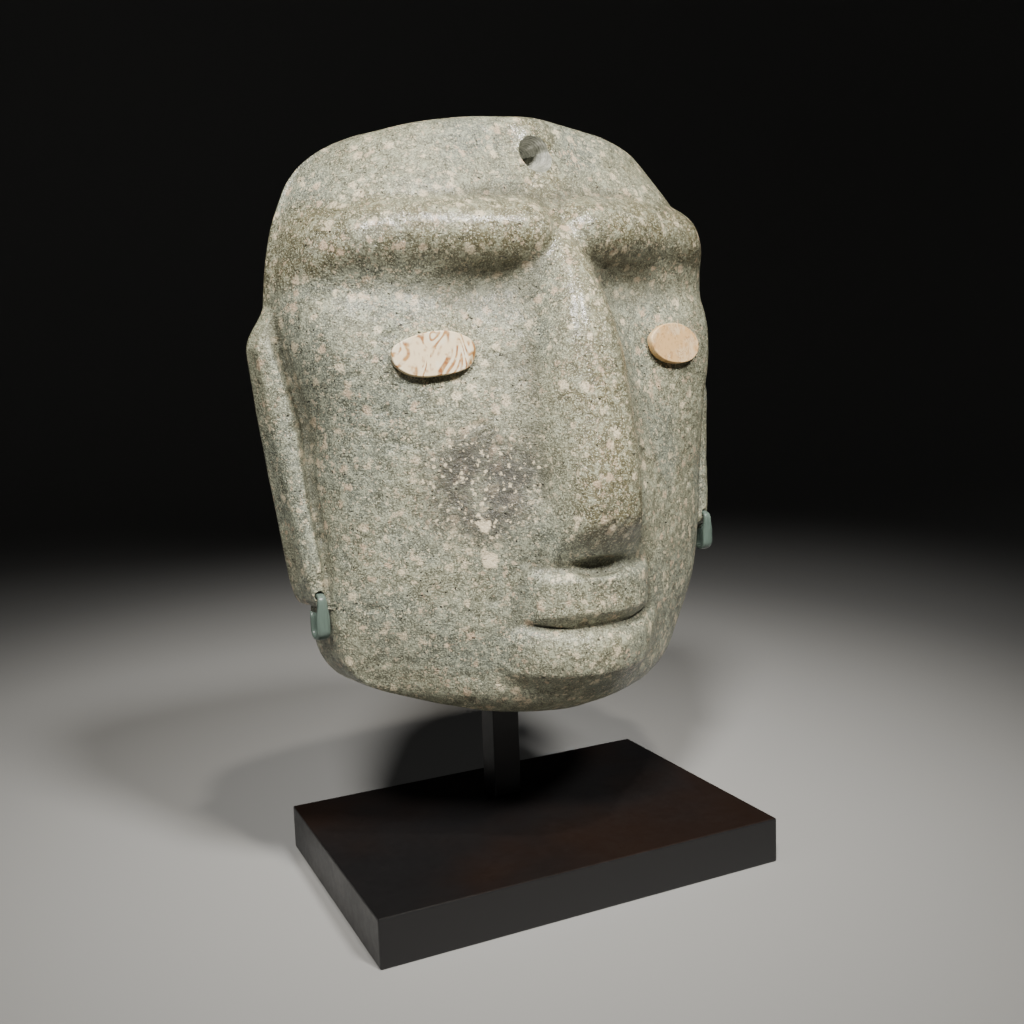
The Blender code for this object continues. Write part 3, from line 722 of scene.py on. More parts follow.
spots = kdtree.KDTree(len(worn))
for index, point in enumerate(worn):
    spots.insert(point, index)
spots.balance()
sunk = np.zeros(len(worn))
front_points = np.flatnonzero(carved[:, 1] < -WEATHERED_FROM)
for index in dice.choice(front_points, WEATHER_PITS, replace=False):
    width = LEAST_PIT_WIDTH + PIT_WIDTH_RANGE * dice.random() ** 3
    deep = width * dice.uniform(*PIT_DEPTHS)
    long, lean = dice.uniform(*PIT_LENGTHS), dice.uniform(*PIT_LEANS)
    for _, other, _ in spots.find_range(worn[index], width * long):
        across = worn[other] - worn[index]
        away = math.hypot((across[0] + lean * across[2]) / long, across[2], across[1] / 2) / width
        if away < 1.0:
            sunk[other] = max(sunk[other], deep * (1.0 - away * away) ** 1.5)
(hollow_x, hollow_z), (hollow_wide, hollow_high) = NOSE_HOLLOW_PLACE, NOSE_HOLLOW_REACH
under_nose = np.hypot((carved[:, 0] - hollow_x) / hollow_wide, (carved[:, 2] - hollow_z) / hollow_high)
sunk += NOSE_HOLLOW_DEPTH * smooth_step(NOSE_HOLLOW_EDGE - under_nose) * on_front
worn -= outward * sunk[:, None]
set_points(mask_mesh, worn)

# Dirt and painted shade gather in the hollows, found by how far a point lies below its
# surroundings; the broad reach paints shade into the cove under the brows:
# their reach on the net, and what each counts for
SURROUNDINGS = ((3, 0.9), (9, 0.5), (22, 0.40))

# Hands polish what stands out, the brow bars and the nose's ridge, and it fades
# out over these depths and widths
BROW_BLOOM_FADE = 3.0
RIDGE_BLOOM_FADE = 8.0
RIDGE_BLOOM_START = 1.4
RIDGE_BLOOM_REACH = 8.0
RIDGE_SIDE_FADE = 10.0
BLOOM_EASE = 4

outward = normals_of(mask_mesh)
hollow = np.zeros(len(worn))
for reach, share in SURROUNDINGS:
    hollow += share * np.sum((evened(worn, reach) - worn) * outward, axis=1)
side = np.abs(carved[:, 0])
front = -carved[:, 1]
under_brow = brow_depth(carved[:, 0], carved[:, 2]) - front
on_brow = smooth_step((under_brow + BROW_BLOOM_FADE) / BROW_BLOOM_FADE)
ridge_width = curve_through(RIDGE_HALF_WIDTHS, 1, carved[:, 2])
past_ridge = front - curve_through(RIDGE_DEPTHS, 1, carved[:, 2])
on_ridge = smooth_step(past_ridge / RIDGE_BLOOM_FADE + RIDGE_BLOOM_START)
on_ridge *= smooth_step((ridge_width + RIDGE_BLOOM_REACH - side) / RIDGE_SIDE_FADE)
bloom = np.maximum(on_brow, on_ridge)
for name, values in (("hollow", hollow), ("bloom", evened(bloom, BLOOM_EASE)[:, 0])):
    layer = mask_mesh.attributes.new(name, "FLOAT", "POINT")
    layer.data.foreach_set("value", values.astype(np.float32))

STONE_GREEN = (0.250, 0.252, 0.176)
STONE_BLUE = (0.208, 0.228, 0.184)
STONE_LIGHT = (0.565, 0.580, 0.420)
STONE_DARK = (0.070, 0.067, 0.042)
STONE_CREAM = (0.86, 0.74, 0.51)
STONE_STAIN = (0.060, 0.055, 0.048)
STONE_PINK = (0.70, 0.53, 0.36)
STONE_OLIVE = (0.165, 0.140, 0.070)
STONE_RUST = (0.36, 0.15, 0.05)
PIT_BLACK = (0.010, 0.008, 0.005)

# The stone's grains, coarse to fine: scale, detail and roughness of each noise
STONE_GRAINS = {
    "cloud": (22.0, 3.0, 0.6),
    "patch": (75.0, 4.0, 0.65),
    "mottle": (260.0, 4.0, 0.62),
    "salt": (1500.0, 2.0, 0.75),
}

# Tints laid over the green in turn: the grain that places each, the levels where it
# starts and is full, and its share
BROAD_TINTS = (
    ("cloud", STONE_BLUE, 0.42, 0.60, 1.0),
    ("patch", STONE_OLIVE, 0.50, 0.72, 0.40),
)
FINE_TINTS = (
    ("mottle", STONE_LIGHT, 0.50, 0.68, 0.55),
    ("mottle", STONE_DARK, 0.50, 0.34, 0.58),
    ("salt", STONE_LIGHT, 0.53, 0.62, 0.85),
    ("salt", STONE_DARK, 0.46, 0.36, 0.76),
)

# Spots scattered through the stone: the scatter's scale, where a spot's edge starts
# and ends, and the share of places that have one
LARGE_SPOTS = (185.0, 0.20, 0.38, 0.66)
SMALL_SPOTS = (400.0, 0.20, 0.42, 0.50)
FINE_SPOTS = (900.0, 0.18, 0.42, 0.30)
STAIN_FLECKS = (520.0, 0.20, 0.44, 0.62)
DARK_PITS = (640.0, 0.10, 0.26, 0.18)
SPOT_SIZES = (0.6, 1.2)

# How their edges wander: scale and reach
SPOT_WANDER = (420.0, 0.0042)
FINE_SPOT_WANDER = (1500.0, 0.0012)
FLECK_WANDER = (900.0, 0.0022)
DARK_PIT_WANDER = (900.0, 0.0016)

# Single marks: x, depth and height on the mask, reach, and the share of it that is solid
STAIN = (-42.0, 62.0, 94.0, 31.0, 0.35)
CREAM_CHIPS = ((-40.0, 62.0, 66.0, 3.6, 0.75), (-42.0, 62.0, 79.0, 3.4, 0.70))
RUSTY_SPOT = (-22.0, 70.0, 50.0, 3.4, 0.35)

# Levels at which a mark sets in and is full, and its share at each where it isn't 0 and 1
BLOOM_LEVELS = (0.36, 0.60, 0.45, 0.90)
SPOT_LEVELS = (0.40, 0.52, 0.40, 1.0)
PINK_GRAIN = (70.0, 2.0)
PINK_LEVELS = (0.46, 0.60)
DIRT_AND_SHADE_LEVELS = (0.1, 1.8)
STAIN_LEVELS = (0.36, 0.54, 0.45, 1.0)
FLECK_LEVELS = (0.0, 0.4)

# Short dark dashes that lie level: the grain is drawn out by this, and cut at these levels
DASH_STRETCH = (330.0, 330.0, 1250.0)
DASH_GRAIN = (1.0, 2.0)
DASH_LEVELS = (0.685, 0.73)

# How far each mark covers what lies under it
SMALL_SPOT_COVER = 0.75
FINE_SPOT_COVER = 0.80
SPOT_COVER = 0.90
DIRT_AND_SHADE_COVER = 0.55
STAIN_COVER = 0.85
FLECK_COVER = 0.85
PIT_COVER = 0.9

# Polish: the salt's levels and the roughness at them, what marks add to it, and the
# glossy coat that hands have left, from plain stone to full bloom
STONE_SHEEN = (0.40, 0.60, 0.50, 0.24)
PIT_DULLNESS = 0.3
DIRT_DULLNESS = 0.15
BLOOM_POLISH = 0.12
COAT_LEVELS = (0.0, 1.0, 0.10, 0.50)
COAT_ROUGHNESS = 0.14
COAT_RELIEF = 0.0004
MOTTLE_RELIEF = 0.0007
SALT_RELIEF = 0.00040
PIT_RELIEF = 0.0005


def layer_of(tree, name):
    return add(tree, "Attribute", attribute_name=name).outputs["Fac"]


def spotted(tree, place, scale, low, high, chosen):
    """Round spots in some cells of a random scatter: 1 inside, 0 outside."""
    cells = add(tree, "TexVoronoi", {"Vector": place, "Scale": scale})
    pick = add(tree, "SeparateColor", {"Color": cells.outputs["Color"]})
    size = between(tree, pick.outputs["Green"], 0.0, 1.0, *SPOT_SIZES)
    inside = between(tree, worked(tree, "DIVIDE", cells.outputs["Distance"], size), low, high, 1.0, 0.0)
    kept = worked(tree, "LESS_THAN", pick.outputs["Red"], chosen)
    return times(tree, inside, kept)


def near(tree, place, x, deep, z, reach, core):
    """1 about a place on the mask, 0 beyond its reach."""
    centre = Vector((x, -deep, z)) * MM
    away = add(tree, "VectorMath", {0: place, 1: centre}, operation="DISTANCE").outputs["Value"]
    return between(tree, away, core * reach * MM, reach * MM, 1.0, 0.0)


def shaken(tree, place, scale, reach):
    """A place moved a little by noise, so that what is laid out on it loses its regular edges."""
    moved = add(tree, "TexNoise", {"Vector": place, "Scale": scale, "Detail": 2.0}).outputs["Color"]
    for operation, amount in (("SUBTRACT", 0.5), ("MULTIPLY", reach)):
        moved = add(tree, "VectorMath", {0: moved, 1: (amount,) * 3}, operation=operation).outputs["Vector"]
    return add(tree, "VectorMath", {0: place, 1: moved}, operation="ADD").outputs["Vector"]


def speckled_stone(name):
    finish, tree, shader = new_finish(name)
    place = place_on_piece(tree)
    loose = shaken(tree, place, *SPOT_WANDER)
    grains = {kind: grain(tree, place, *recipe) for kind, recipe in STONE_GRAINS.items()}
    patch, mottle, salt = (grains[kind] for kind in ("patch", "mottle", "salt"))
    bloom = layer_of(tree, "bloom")

    colour = STONE_GREEN
    for kind, tint, low, high, share in BROAD_TINTS:
        colour = laid_over(tree, colour, tint, between(tree, grains[kind], low, high, 0.0, share))
    brown = times(tree, bloom, between(tree, patch, *BLOOM_LEVELS))
    colour = laid_over(tree, colour, STONE_OLIVE, brown)
    for kind, tint, low, high, share in FINE_TINTS:
        colour = laid_over(tree, colour, tint, between(tree, grains[kind], low, high, 0.0, share))

    large = spotted(tree, loose, *LARGE_SPOTS)
    small = times(tree, spotted(tree, loose, *SMALL_SPOTS), SMALL_SPOT_COVER)
    spots = worked(tree, "MAXIMUM", large, small)
    spots = times(tree, spots, between(tree, salt, *SPOT_LEVELS))
    fine = spotted(tree, shaken(tree, place, *FINE_SPOT_WANDER), *FINE_SPOTS)
    spots = worked(tree, "MAXIMUM", spots, times(tree, fine, FINE_SPOT_COVER))
    pink = between(tree, grain(tree, place, *PINK_GRAIN), *PINK_LEVELS)
    warm = laid_over(tree, STONE_CREAM, STONE_PINK, pink)
    colour = laid_over(tree, colour, warm, times(tree, spots, SPOT_COVER))
    # Dirt and painted shade: darker where the surface lies below its surroundings
    dirt_and_shade = between(tree, layer_of(tree, "hollow"), *DIRT_AND_SHADE_LEVELS)
    colour = laid_over(tree, colour, STONE_DARK, times(tree, dirt_and_shade, DIRT_AND_SHADE_COVER))

    stain = times(tree, near(tree, loose, *STAIN), between(tree, patch, *STAIN_LEVELS))
    colour = laid_over(tree, colour, STONE_STAIN, times(tree, stain, STAIN_COVER))
    flecks = spotted(tree, shaken(tree, place, *FLECK_WANDER), *STAIN_FLECKS)
    flecks = times(tree, flecks, between(tree, stain, *FLECK_LEVELS))
    colour = laid_over(tree, colour, STONE_CREAM, times(tree, flecks, FLECK_COVER))
    for chip in CREAM_CHIPS:
        colour = laid_over(tree, colour, STONE_CREAM, near(tree, loose, *chip))
    colour = laid_over(tree, colour, STONE_RUST, near(tree, loose, *RUSTY_SPOT))

    pits = spotted(tree, shaken(tree, place, *DARK_PIT_WANDER), *DARK_PITS)
    drawn_out = add(tree, "Mapping", {"Vector": place, "Scale": DASH_STRETCH}).outputs["Vector"]
    dashes = between(tree, grain(tree, drawn_out, *DASH_GRAIN), *DASH_LEVELS)
    broken = worked(tree, "MAXIMUM", pits, dashes)
    colour = laid_over(tree, colour, PIT_BLACK, times(tree, broken, PIT_COVER))
    tree.links.new(colour, shader.inputs["Base Color"])

    gloss = between(tree, salt, *STONE_SHEEN)
    gloss = worked(tree, "ADD", gloss, times(tree, broken, PIT_DULLNESS))
    gloss = worked(tree, "ADD", gloss, times(tree, dirt_and_shade, DIRT_DULLNESS))
    gloss = worked(tree, "SUBTRACT", gloss, times(tree, bloom, BLOOM_POLISH))
    tree.links.new(gloss, shader.inputs["Roughness"])
    tree.links.new(between(tree, bloom, *COAT_LEVELS), shader.inputs["Coat Weight"])
    shader.inputs["Coat Roughness"].default_value = COAT_ROUGHNESS
    tree.links.new(relief(tree, mottle, COAT_RELIEF), shader.inputs["Coat Normal"])
    bumps = relief(tree, mottle, MOTTLE_RELIEF)
    bumps = relief(tree, salt, SALT_RELIEF, bumps)
    bumps = relief(tree, worked(tree, "SUBTRACT", 1.0, broken), PIT_RELIEF, bumps)
    tree.links.new(bumps, shader.inputs["Normal"])
    return finish


def laid_on_seat(piece):
    """Puts a piece that is given in the mask's own frame on the post."""
    piece.location = POST_FACE
    piece.rotation_euler = (0.0, 0.0, MASK_TURN)


mask = bpy.data.objects.new("mask_stone", mask_mesh)
studio.objects.link(mask)
mask_mesh.materials.append(speckled_stone("speckled_stone"))
smooth = [len(face.vertices) == 4 for face in mask_mesh.polygons]
mask_mesh.polygons.foreach_set("use_smooth", smooth)

# The pit in the forehead was drilled with a hollow reed and sand: a smooth cone
# with faint rings. A small hole in each ear lobe takes a hook.
PIT_PLACE = (-1.0, 219.0)
PIT_RADIUS = 7.2
PIT_TIP_RADIUS = 1.6
PIT_DEPTH = 19.0
HOLE_RADIUS = 1.9
HOLE_TIP_RADIUS = 1.2
HOLE_DEPTH = 9.0
DRILL_SIDES = 64
DRILLED_GREY = (0.17, 0.175, 0.14)
DRILLED_LIGHT = (0.36, 0.36, 0.30)
DRILLED_GRAIN = (380.0, 5.0, 0.7)
DRILLED_LEVELS = (0.38, 0.68)
DRILLED_ROUGHNESS = 0.42
DRILLED_RELIEF = 0.0001
RINGS_PER_METRE = 5200.0
RING_RELIEF = 0.00004


def drilled_stone(name):
    finish, tree, shader = new_finish(name)
    place = place_on_piece(tree)
    along = add(tree, "SeparateXYZ", {"Vector": place}).outputs["Y"]
    mottle = grain(tree, place, *DRILLED_GRAIN)
    colour = laid_over(tree, DRILLED_GREY, DRILLED_LIGHT, between(tree, mottle, *DRILLED_LEVELS))
    tree.links.new(colour, shader.inputs["Base Color"])
    shader.inputs["Roughness"].default_value = DRILLED_ROUGHNESS
    rings = worked(tree, "SINE", times(tree, along, RINGS_PER_METRE))
    bumps = relief(tree, rings, RING_RELIEF, relief(tree, mottle, DRILLED_RELIEF))
    tree.links.new(bumps, shader.inputs["Normal"])
    return finish


drilled = drilled_stone("drilled_stone")


def set_out(name, net, finish):
    """Makes a worked net into an object of its own, with its finish."""
    mesh = bpy.data.meshes.new(name)
    net.to_mesh(mesh)
    net.free()
    mesh.materials.append(finish)
    made = bpy.data.objects.new(name, mesh)
    studio.objects.link(made)
    return made


def drill(name, x, z, radius, tip_radius, deep):
    """Cuts a cone into the mask's front, from well before it to its tip."""
    surface = float(front_depth(np.array([x]), np.array([z]))[0])
    slope = (radius - tip_radius) / deep
    extra = deep / 2
    bit = bmesh.new()
    bmesh.ops.create_cone(
        bit,
        cap_ends=True,
        segments=DRILL_SIDES,
        radius1=tip_radius * MM,
        radius2=(radius + slope * extra) * MM,
        depth=(deep + extra) * MM,
    )
    bmesh.ops.rotate(bit, verts=bit.verts, matrix=Matrix.Rotation(math.pi / 2, 3, "X"))
    middle = Vector((x, -(surface + (extra - deep) / 2), z)) * MM
    bmesh.ops.translate(bit, verts=bit.verts, vec=middle)
    for face in bit.faces:
        face.smooth = len(face.verts) == 4
    cutter = set_out(name, bit, drilled)
    hole = mask.modifiers.new(name, "BOOLEAN")
    hole.operation = "DIFFERENCE"
    hole.solver = "EXACT"
    hole.material_mode = "TRANSFER"
    hole.object = cutter
    return cutter


def finish_cuts(piece, cutters):
    """Keeps the cut shape as the piece's own mesh, and removes the cutters."""
    bpy.context.view_layer.update()
    as_cut = piece.evaluated_get(bpy.context.evaluated_depsgraph_get())
    cut = bpy.data.meshes.new_from_object(as_cut)
    piece.modifiers.clear()
    piece.data = cut
    for cutter in cutters:
        bpy.data.objects.remove(cutter)


# Each hole lies this far in from its ear's outer line, and above its lobe's lower edge
HOOK_INSETS = (3.4, 5.8)
HOOK_ABOVE_LOBE = 6.5
hook_seats = {}
for word, sign, line, lobe, inset in zip(("left", "right"), (-1, 1), EAR_LINES, EAR_LOBES, HOOK_INSETS):
    top = lobe + HOOK_ABOVE_LOBE
    hook_seats[word] = (sign * (ear_offset(line, top) - inset), top)
bits = [drill("pit", *PIT_PLACE, PIT_RADIUS, PIT_TIP_RADIUS, PIT_DEPTH)]
for word, (x, z) in hook_seats.items():
    bits.append(drill("hole_" + word, x, z, HOLE_RADIUS, HOLE_TIP_RADIUS, HOLE_DEPTH))
finish_cuts(mask, bits)
laid_on_seat(mask)
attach(mask, "root")
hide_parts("mask")


# Shell discs
# Thin ovals sawn from a thick shell and rubbed flat, cream with rusty growth
# lines. They lie on the cheeks with their own shadow line all round.
DISC_THICKNESS = 2.6
DISC_CHAMFER = 0.45
DISC_SHOULDER = 0.3 * DISC_CHAMFER
DISC_BACK_CHAMFER = 0.15
DISC_GAP = 0.15
DISC_OFFSET = 54.5
DISC_SLANT = math.radians(12.0)
DISC_LEFT_HEIGHT = 141.8
DISC_RIGHT_HEIGHT = 144.3

# Outlines over the disc's middle, and height and inset of the rings up its edge
DISC_LEFT = (
    (-15.9, 0.2),
    (-14.9, 3.0),
    (-12.0, 4.9),
    (-8.5, 6.4),
    (-3.3, 7.9),
    (2.0, 8.5),
    (6.3, 8.3),
    (10.5, 7.0),
    (14.2, 4.8),
    (15.5, 0.6),
    (13.4, -4.1),
    (8.2, -6.6),
    (2.0, -7.6),
    (-4.0, -8.0),
    (-9.1, -7.3),
    (-12.6, -5.6),
    (-15.0, -3.4),
)
DISC_RIGHT = (
    (-14.2, 1.2),
    (-12.4, 4.2),
    (-6.7, 7.4),
    (0.7, 8.4),
    (6.8, 7.7),
    (12.6, 4.8),
    (15.6, 1.4),
    (15.5, -1.8),
    (13.7, -4.7),
    (9.1, -7.2),
    (1.7, -8.2),
    (-6.9, -6.9),
    (-12.4, -3.6),
)
OUTLINE_STEPS = 6
EDGE_RINGS = (
    (0.0, DISC_BACK_CHAMFER),
    (DISC_BACK_CHAMFER, 0.0),
    (DISC_THICKNESS - DISC_CHAMFER, 0.0),
    (DISC_THICKNESS - DISC_SHOULDER, DISC_SHOULDER),
    (DISC_THICKNESS, DISC_CHAMFER),
)

# The cheek under a disc is felt out over these shares of its outline, and its tilt
# over this height above and below its middle
SEAT_SHARES = (0.0, 0.5, 1.0)
TILT_REACH = 2.0

SHELL_CREAM = (0.97, 0.79, 0.50)
SHELL_BUFF = (0.78, 0.50, 0.23)
SHELL_TAN = (0.50, 0.27, 0.10)
SHELL_RUST = (0.34, 0.13, 0.04)
SHELL_WHITE = (0.98, 0.89, 0.66)
SHELL_CLOUDS = (150.0, 4.0)
SHELL_CLOUD_LEVELS = (0.46, 0.66)
SHELL_ROUGHNESS = 0.38
SHELL_GRAIN = (420.0, 4.0)
SHELL_RELIEF = 0.00006

# Growth lines: the slant and stretch of the noise that they follow, its detail,
# roughness and distortion, and the level and width of each line
GROWTH_TURN = (0.0, 0.0, 0.7)
GROWTH_STRETCH = (1.0, 0.45, 1.0)
GROWTH_NOISE = (2.0, 0.45, 0.8)
GROWTH_LINES = ((0.38, 0.020), (0.46, 0.026), (0.54, 0.026), (0.62, 0.020))
LINE_CORE = 0.3
LINE_GAPS = (230.0, 2.0)
LINE_GAP_LEVELS = (0.40, 0.58)
RUST_GRAIN = (420.0, 2.0)
RUST_LEVELS = (0.45, 0.65)
SHELL_FLECKS = (520.0, 0.12, 0.40, 0.22)
SHELL_FLECK_COVER = 0.6


def shell(name, face_colour, white_share, vein_scale, vein_share):
    finish, tree, shader = new_finish(name)
    place = place_on_piece(tree)
    soft = between(tree, grain(tree, place, *SHELL_CLOUDS), *SHELL_CLOUD_LEVELS, 0.0, white_share)
    colour = laid_over(tree, face_colour, SHELL_WHITE, soft)
    slanted = {"Vector": place, "Rotation": GROWTH_TURN, "Scale": GROWTH_STRETCH}
    growth = grain(tree, add(tree, "Mapping", slanted).outputs["Vector"], vein_scale, *GROWTH_NOISE)
    veins = None
    for level, width in GROWTH_LINES:
        away = worked(tree, "ABSOLUTE", worked(tree, "SUBTRACT", growth, level))
        line = between(tree, away, LINE_CORE * width, width, 1.0, 0.0)
        veins = line if veins is None else worked(tree, "MAXIMUM", veins, line)
    gaps = between(tree, grain(tree, place, *LINE_GAPS), *LINE_GAP_LEVELS)
    veins = times(tree, veins, gaps)
    rusty = between(tree, grain(tree, place, *RUST_GRAIN), *RUST_LEVELS)
    vein_colour = laid_over(tree, SHELL_TAN, SHELL_RUST, rusty)
    colour = laid_over(tree, colour, vein_colour, times(tree, veins, vein_share))
    flecks = spotted(tree, place, *SHELL_FLECKS)
    colour = laid_over(tree, colour, SHELL_TAN, times(tree, flecks, SHELL_FLECK_COVER))
    tree.links.new(colour, shader.inputs["Base Color"])
    shader.inputs["Roughness"].default_value = SHELL_ROUGHNESS
    bumps = relief(tree, grain(tree, place, *SHELL_GRAIN), SHELL_RELIEF)
    tree.links.new(bumps, shader.inputs["Normal"])
    return finish


def rounded_outline(corners):
    """A smooth closed line through the given corners."""
    line = []
    count = len(corners)
    points = [Vector((x, z, 0.0)) for x, z in corners]
    for index in range(count):
        before, here, there, after = (points[(index + shift) % count] for shift in (-1, 0, 1, 2))
        for step in range(OUTLINE_STEPS):
            t = step / OUTLINE_STEPS
            along = (there - before) * t
            bend = (2 * before - 5 * here + 4 * there - after) * t * t
            turn = (3 * here - before - 3 * there + after) * t**3
            line.append(0.5 * (2 * here + along + bend + turn))
    return line


def seat_on_cheek(sign, height, outline):
    """How far a disc's back stands from the mask's flat back, and its tilt."""
    column = np.array([DISC_OFFSET * sign] * 2)
    low, high = front_depth(column, np.array([height - TILT_REACH, height + TILT_REACH]))
    tilt = math.atan2(high - low, 2 * TILT_REACH)
    seat = -math.inf
    for share in SEAT_SHARES:
        along = np.array([point.x for point in outline]) * share
        across = np.array([point.y for point in outline]) * share
        x = DISC_OFFSET * sign + along * math.cos(DISC_SLANT)
        z = height + across * math.cos(tilt)
        plane = -along * sign * math.sin(DISC_SLANT) + across * math.sin(tilt)
        seat = max(seat, float(np.max(front_depth(x, z) - plane)))
    return seat, tilt


def skinned(net, rings):
    """Closes a row of rings into a body: smooth sides and flat ends."""
    count = len(rings[0])
    for low, high in zip(rings, rings[1:]):
        for index in range(count):
            following = (index + 1) % count
            net.faces.new((low[index], low[following], high[following], high[index])).smooth = True
    net.faces.new(reversed(rings[0]))
    net.faces.new(rings[-1])


def make_disc(word, sign, height, corners, finish, end_cut=None):
    outline = rounded_outline(corners)
    slab = bmesh.new()
    rings = []
    for up, inset in EDGE_RINGS:
        ring = []
        for point in outline:
            inward = point * (1.0 - inset / point.length)
            ring.append(slab.verts.new(Vector((inward.x, inward.y, up)) * MM))
        rings.append(ring)
    skinned(slab, rings)
    if end_cut:
        place, facing = end_cut
        bmesh.ops.bisect_plane(
            slab,
            geom=slab.verts[:] + slab.edges[:] + slab.faces[:],
            plane_co=Vector(place) * MM,
            plane_no=Vector(facing),
            clear_outer=True,
        )
        open_edges = [edge for edge in slab.edges if edge.is_boundary]
        bmesh.ops.contextual_create(slab, geom=open_edges)
    bmesh.ops.recalc_face_normals(slab, faces=slab.faces)
    disc = set_out("shell_disc_" + word, slab, finish)
    seat, tilt = seat_on_cheek(sign, height, outline)
    on_mask = Matrix.Translation(Vector((sign * DISC_OFFSET, -seat - DISC_GAP, height)) * MM)
    on_mask = on_mask @ Matrix.Rotation(sign * DISC_SLANT, 4, "Z")
    on_mask = on_mask @ Matrix.Rotation(math.pi / 2 + tilt, 4, "X")
    disc.matrix_world = Matrix.Translation(POST_FACE) @ Matrix.Rotation(MASK_TURN, 4, "Z") @ on_mask
    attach(disc, "root")
    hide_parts("eye_disc_" + word)


# The left disc is whiter with bold growth lines, and its right end has a slanted cut,
# given by a point of it and the way it faces. The right one is tanner and finer.
LEFT_END_CUT = ((12.3, -2.5, DISC_THICKNESS), (0.52, -0.30, 0.80))
veined_shell = shell("veined_shell", SHELL_CREAM, white_share=0.80, vein_scale=78.0, vein_share=1.0)
make_disc("left", -1, DISC_LEFT_HEIGHT, DISC_LEFT, veined_shell, LEFT_END_CUT)
tan_shell = shell("tan_shell", SHELL_BUFF, white_share=0.35, vein_scale=300.0, vein_share=0.60)
make_disc("right", 1, DISC_RIGHT_HEIGHT, DISC_RIGHT, tan_shell)


# Ear hooks
# Bands of polished green stone bent like a J. Each hangs from a small drilled
# hole in an ear lobe by its tapered end, and its tail ends in a slanted cut.
HOOK_WIDTH = 5.3
HOOK_THICKNESS = 2.1
HOOK_DROP = 18.0
HOOK_REACH = 8.5
HOOK_TAIL = 5.5
HOOK_CLEARANCE = 0.3
HOOK_SIDES = 24

# The tongue in the hole, from its end: distance behind the bend, width and thickness
TONGUE = ((4.0, 2.2, 1.7), (2.0, 2.4, 1.8))

# The neck over the top bend: width at its start, what it gains, and thickness
NECK_WIDTH = 2.8
NECK_GAIN = 0.9
NECK_THICKNESS = 2.0

# Below it the band is narrower than its full width by this, which it makes up early on
WAIST = 1.6
WAIST_FLARE = 1.6
TOP_BEND_STEPS = 6
LIMB_STEPS = 8
LOW_BEND_STEPS = 14
TAIL_SHARES = (0.35, 0.7, 1.0)
TAIL_SLANT = 0.45

# Powers that give the band its section, flat with rounded edges
SECTION_ACROSS = 0.55
SECTION_THROUGH = 0.75

# The lobe's front behind a hook is felt out over this half width, above and below the hole
LOBE_HALF_WIDTH = 3.2
LOBE_ABOVE = 2.1
LOBE_BELOW = 8.2
LOBE_COLUMNS = 7
LOBE_ROWS = 9

HOOK_GREEN = (0.118, 0.162, 0.138)
HOOK_DEEP = (0.060, 0.078, 0.066)
HOOK_PALE = (0.17, 0.22, 0.19)
STREAK_STRETCH = (1.0, 1.0, 0.12)
STREAK_GRAIN = (900.0, 4.0)
STREAK_LEVELS = (0.45, 0.75, 0.0, 0.55)
STREAK_RELIEF = 0.00003
PALE_CLOUDS = (160.0, 3.0)
PALE_LEVELS = (0.5, 0.75, 0.0, 0.6)
HOOK_ROUGHNESS = 0.3


def polished_green_stone(name):
    finish, tree, shader = new_finish(name)
    place = place_on_piece(tree)
    drawn_out = add(tree, "Mapping", {"Vector": place, "Scale": STREAK_STRETCH}).outputs["Vector"]
    streak = grain(tree, drawn_out, *STREAK_GRAIN)
    cloud = grain(tree, place, *PALE_CLOUDS)
    colour = laid_over(tree, HOOK_GREEN, HOOK_DEEP, between(tree, streak, *STREAK_LEVELS))
    colour = laid_over(tree, colour, HOOK_PALE, between(tree, cloud, *PALE_LEVELS))
    tree.links.new(colour, shader.inputs["Base Color"])
    shader.inputs["Roughness"].default_value = HOOK_ROUGHNESS
    tree.links.new(relief(tree, streak, STREAK_RELIEF), shader.inputs["Normal"])
    return finish


def hook_stations(front, top):
    """Centre line of a hook from its tongue to its tail: depth, height, width, thickness."""
    bend = HOOK_THICKNESS
    low_bend = HOOK_REACH / 2 - HOOK_THICKNESS / 2
    bottom = top + HOOK_THICKNESS - HOOK_DROP + low_bend
    line = [(front - bend - behind, top, wide, thick) for behind, wide, thick in TONGUE]
    for step in range(TOP_BEND_STEPS + 1):
        turn = math.pi / 2 * step / TOP_BEND_STEPS
        depth = front - bend + bend * math.sin(turn)
        height = top - bend + bend * math.cos(turn)
        line.append((depth, height, NECK_WIDTH + NECK_GAIN * step / TOP_BEND_STEPS, NECK_THICKNESS))
    limb = top - bend - bottom
    for step in range(1, LIMB_STEPS + 1):
        share = step / LIMB_STEPS
        wide = HOOK_WIDTH - WAIST * (1.0 - smooth_step(share * WAIST_FLARE))
        line.append((front, top - bend - limb * share, float(wide), HOOK_THICKNESS))
    for step in range(1, LOW_BEND_STEPS + 1):
        turn = math.pi * step / LOW_BEND_STEPS
        depth = front - low_bend + low_bend * math.cos(turn)
        line.append((depth, bottom - low_bend * math.sin(turn), HOOK_WIDTH, HOOK_THICKNESS))
    for share in TAIL_SHARES:
        line.append((front - 2 * low_bend, bottom + HOOK_TAIL * share, HOOK_WIDTH, HOOK_THICKNESS))
    return line


